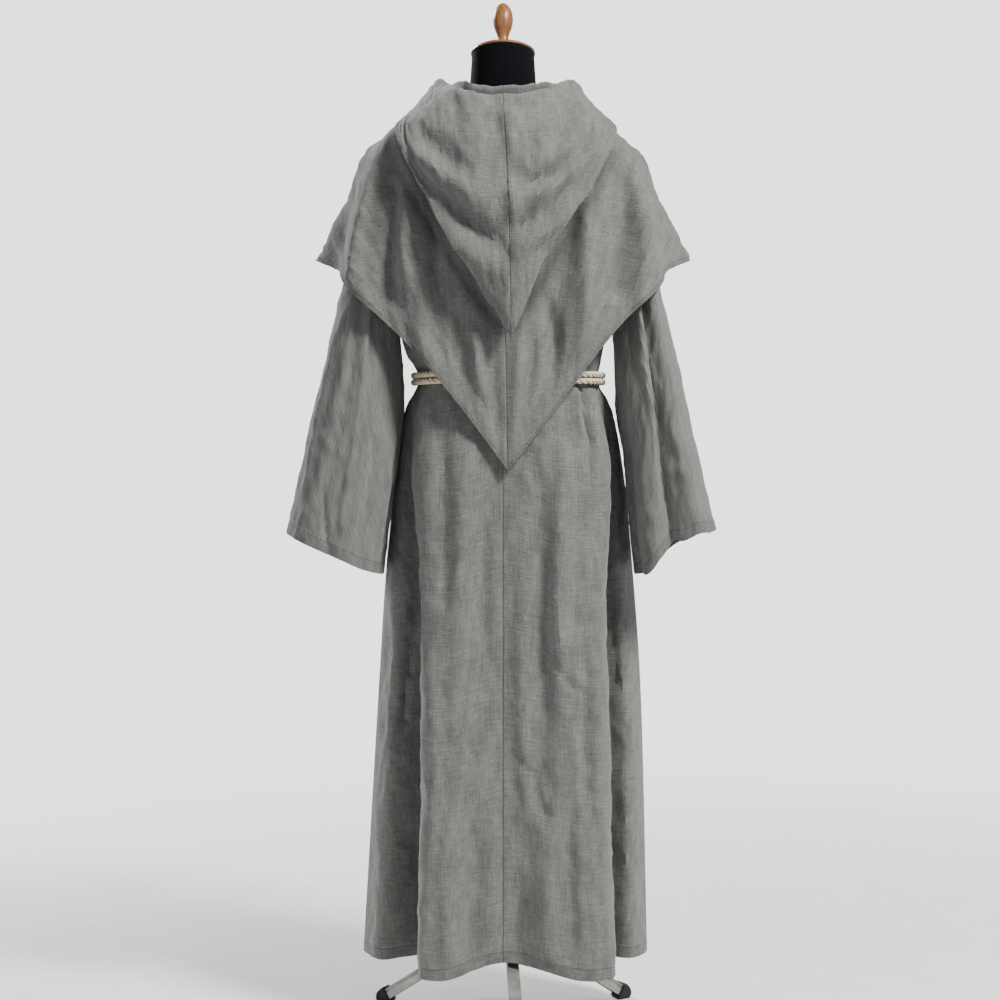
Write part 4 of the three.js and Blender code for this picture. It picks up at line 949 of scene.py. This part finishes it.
def make_robe_back(half, table):
    net = mirrored(robe_back(table)) if half == "right" else robe_back(table)
    s = Sheet("robe_back_" + half, gridded(net, GRAIN, *ROBE_ROWS), -1 if half == "right" else 1)
    side_gap = s.u[:, -1:] - s.u
    sewn = s.net[:, -1:, 2] < ARMHOLE["z"][0]
    d = seen_creases(s.net, BACK_CREASES, 1, s.u) + s.crumples(side_gap) * unit(s.u / .02)
    s.work(d + groove(s.u) + groove(side_gap) * sewn, s.u)
    s.finish(s.u * s.side, s.v, s.v, np.minimum(s.u, np.where(sewn, side_gap, 1)))
    return s.net


def make_robe_front():
    s = Sheet("robe_front", gridded(robe_front(), GRAIN, *ROBE_ROWS), 1)
    sewn = s.net[:, :1, 2] < ARMHOLE["z"][0]
    s.work(seen_creases(s.net, FRONT_CREASES, -1) + s.crumples(s.gap) + groove(s.gap) * sewn)
    s.finish(s.u - s.u[:, s.u.shape[1] // 2, None], s.v, s.v, np.where(sewn, s.gap, 1))
    return s.net


def make_sleeve(half, table, folds, ridge=None):
    net = sleeve(table, folds, ridge)
    net = respaced(mirrored(net) if half == "right" else net, GRAIN, ends=HEM_ROWS)
    s = Sheet("sleeve_" + half, net, -1 if half == "right" else 1)
    turn = np.radians(np.linspace(180, 540, net.shape[1])[None, :] % 360) + 0 * s.u
    d = 0
    for row in SLEEVE_CREASES[half]:
        path = [(math.radians(at) * SLEEVE_REACH, down) for at, down in row["path"]]
        d = d + crease(turn * SLEEVE_REACH, s.v, **{**row, "path": path})
    d = (d + crumpled(s.u, s.v, s.seed)) * unit(s.gap / .02) * unit(s.v / .04)
    s.work(d + groove(s.gap))
    middle = s.u[:, SLEEVE_AROUND * 3 // 4, None]
    s.finish(s.u - middle, s.v, s.v[-1:] - s.v, 1)


def make_cape(half):
    net = half_net(CAPE, CAPE_LEVELS, CAPE_RIGHT_WIDER, half == "right")
    net = gridded(net, GRAIN, ((), CAPE_HEM_ROWS), (SEAM_ROWS, SEAM_ROWS))
    s = Sheet("cape_" + half, net, 1 if half == "right" else -1)
    d = seen_creases(net, CAPE_CREASES, 1, s.gap) + seen_creases(net, CAPE_FRONT_CREASES, -1, s.gap)
    s.work((d + s.crumples(s.gap)) * unit(s.v / .05) + groove(s.gap), s.gap)
    # painted shade: the cape's back darkened in bands beside the hood's edges
    painted_shade = sum(-crease(s.net[..., 0], s.net[..., 2], **row) for row in HOOD_EDGE_PAINTED_SHADE) * (s.net[..., 1] > 0)
    s.finish(*unrolled(s.net), s.v[-1:] - s.v + (HEM - CAPE_HEM), s.gap, painted_shade)


def make_hood(half):
    net = half_net(HOOD, HOOD_LEVELS, HOOD_RIGHT_WIDER, half == "right")
    s = Sheet("hood_" + half, gridded(net, HOOD_GRAIN, columns=(SEAM_ROWS, ())), 1 if half == "right" else -1)
    facing = seamed_normals(s.net, s.gap)[..., 1] * s.side
    d = seen_creases(s.net, HOOD_CREASES, 1, s.gap) * unit(facing * 2 + .4) * (s.v > .03)

    def fold_in(down, width, across):
        """The fold where the hood's rim turns in behind the neck; it also places the line of painted shade
        along it.
        """
        return bell(s.v - down, width) * unit((across - s.u) / .03)

    s.work(d + s.crumples(s.gap, .015) + groove(s.gap) - .022 * fold_in(.061, .009, .105), s.gap)
    # along the collar's line the colour is darkened: painted shade
    s.finish(s.u, s.v, 1, s.u, .7 * fold_in(.058, .011, .1))


robe_nets = [
    make_robe_back("left", ROBE_BACK_LEFT), make_robe_back("right", ROBE_BACK_RIGHT), make_robe_front(),
]
make_sleeve("left", SLEEVE_LEFT, SLEEVE_FOLDS_LEFT)
make_sleeve("right", SLEEVE_RIGHT, SLEEVE_FOLDS_RIGHT, SLEEVE_RIDGE_RIGHT)
make_cape("left")
make_cape("right")
make_hood("left")
make_hood("right")


# ---- belt ----
def hull(points):
    """The convex outline of points in x and y, in order."""
    def chain(source):
        out = []
        for p in source:
            while len(out) > 1 and ((out[-1][0] - out[-2][0]) * (p[1] - out[-2][1])
                                    - (out[-1][1] - out[-2][1]) * (p[0] - out[-2][0])) <= 0:
                out.pop()
            out.append(p)
        return out[:-1]

    ordered = sorted(map(tuple, points))
    return np.array(chain(ordered) + chain(ordered[::-1]))


def make_belt():
    waist = np.concatenate([net[np.abs(net[..., 2] - ROPE["z"]) < ROPE["reach"]] for net in robe_nets])
    outline = hull(waist[:, :2])
    closed = np.concatenate([outline, outline[:1]])
    run = run_of(closed)
    at = np.linspace(0, run[-1], BELT["points"], endpoint=False)
    ring = np.stack([np.interp(at, run, closed[:, k]) for k in (0, 1)], axis=1)
    for _ in range(BELT["smoothings"]):
        ring = (np.roll(ring, 1, axis=0) + 2 * ring + np.roll(ring, -1, axis=0)) / 4
    ahead = ahead_of(ring)
    ring = ring + np.stack([ahead[:, 1], -ahead[:, 0]], axis=1) * (ROPE["r"] + ROPE["clear"])
    wave = np.sin(circle(len(ring)) * BELT["waves"] + .6) * BELT["wave"]
    for name, sign in (("upper", 1), ("lower", -1)):
        height = ROPE["z"] + sign * (ROPE["r"] + ROPE["gap"] / 2) + wave
        piece = rope_piece("rope_belt_" + name, np.column_stack([ring, height]), (0, 0, 1), closed=True)
        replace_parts(piece, "rope_turn_" + name)


make_belt()


# ---- dress form and stand ----
def lofted(name, rings, slot):
    """A closed body through rings, each a list of points in order."""
    rings = np.asarray(rings, float)
    index = np.arange(rings[..., 0].size).reshape(rings.shape[:2])
    beside = np.roll(index, -1, axis=1)
    faces = np.stack([index[:-1], beside[:-1], beside[1:], index[1:]], axis=-1).reshape(-1, 4).tolist()
    return make(name, rings, [*faces, index[0, ::-1].tolist(), index[-1].tolist()], slot)


def make_form():
    turn = circle(FORM_AROUND)

    def ring(w, d, y, z):
        seam = 1 - .012 * bell(turn - math.pi / 2, .02)
        return np.column_stack([w * np.cos(turn), y + d * np.sin(turn) * seam, z + 0 * turn])

    rings = [ring(*row) for row in smooth([[row[key] for key in "wdyz"] for row in FORM], 5)]
    shoulder, top = rings[-1], ring(NECK_TOP["r"], NECK_TOP["r"], 0, 0)
    top[:, 2] = NECK_TOP["z"] + top[:, 1] * math.tan(NECK_TOP["tilt"])
    rings += [shoulder * (1 - share) + top * share for share in (.25, .5, .75, 1)]
    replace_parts(lofted("form_body", rings, "cover"), "dress_form")


def turned(name, profile, segments):
    """A turned piece square to the neck's sloping top."""
    turn = circle(segments)
    c, s = math.cos(NECK_TOP["tilt"]), math.sin(NECK_TOP["tilt"])
    rings = []
    for r, up in profile:
        x, y = max(r, .0002) * np.cos(turn), max(r, .0002) * np.sin(turn)
        rings.append(np.column_stack([x, y * c - up * s, NECK_TOP["z"] + y * s + up * c]))
    return lofted(name, rings, "wood")


def make_neck_top():
    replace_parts(turned("wood_cap", CAP_PROFILE, 72), "neck_cap")
    profile = [*FINIAL_PROFILE[:2], *smooth(FINIAL_PROFILE[2:], 6)]
    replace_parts(turned("wood_finial", profile, 48), "finial")


def finish_stand():
    for name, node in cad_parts.items():
        kind = STAND.get(name.split("_")[0] if "_" in name else name)
        if not kind:
            continue
        node.data.materials.clear()
        node.data.materials.append(MATERIALS[kind])
        bevel = node.modifiers.new("edges", "BEVEL")
        bevel.width = EDGE[kind]
        bevel.segments = 3
        bevel.limit_method = "ANGLE"
        bevel.angle_limit = math.radians(30)


make_form()
make_neck_top()
finish_stand()


# ---- floor and light ----
def make_floor():
    """A round pale floor that fades into the light beyond it."""
    n = material("floor", Roughness=.85, Specular_IOR_Level=.1)
    speck = n.noise(n.place(), (9, 9, 9), 4)
    n.put(n.shader.inputs["Base Color"], n.tones(speck, .3, .7, (.80, .80, .80), (.84, .84, .84)))
    away = n.add("VectorMath", {0: n.place()}, operation="LENGTH").outputs["Value"]
    fade = n.add("MapRange", {"Value": away, "From Min": FLOOR["clear"], "From Max": FLOOR["faded"]},
                 interpolation_type="SMOOTHSTEP").outputs[0]
    faded = n.add("MixShader", {0: fade, 1: n.shader.outputs[0], 2: n.add("BsdfTransparent").outputs[0]})
    n.put(n.tree.nodes["Material Output"].inputs["Surface"], faded.outputs[0])
    rim = [(FLOOR["r"] * math.cos(a), FLOOR["r"] * math.sin(a), 0) for a in circle(FLOOR["around"])]
    mesh = bpy.data.meshes.new("floor")
    mesh.from_pydata(rim, [], [tuple(range(len(rim)))])
    mesh.materials.append(n.owner)
    linked("floor", mesh)


def area_light(name, place, size, power, colour):
    data = bpy.data.lights.new(name, "AREA")
    data.shape, data.size, data.energy, data.color = "SQUARE", size, power, colour
    light = linked(name, data)
    light.location = place
    light.rotation_euler = (Vector(place) - LIT).to_track_quat("Z", "Y").to_euler()


def make_light():
    """A dim room with one white wall beyond the wearer's front, and a soft key light behind the back."""
    world = bpy.data.worlds.new("studio")
    n = Nodes(world, "Background", Color=(.97, .98, 1, 1))
    across = n.add("SeparateXYZ", {0: n.add("TexCoord").outputs["Generated"]}).outputs["Y"]
    wall = n.add("MapRange", {"Value": across, **ROOM}, interpolation_type="SMOOTHSTEP")
    n.put(n.shader.inputs["Strength"], wall.outputs[0])
    bpy.context.scene.world = world
    for light in LIGHTS:
        area_light(**light)


make_floor()
make_light()
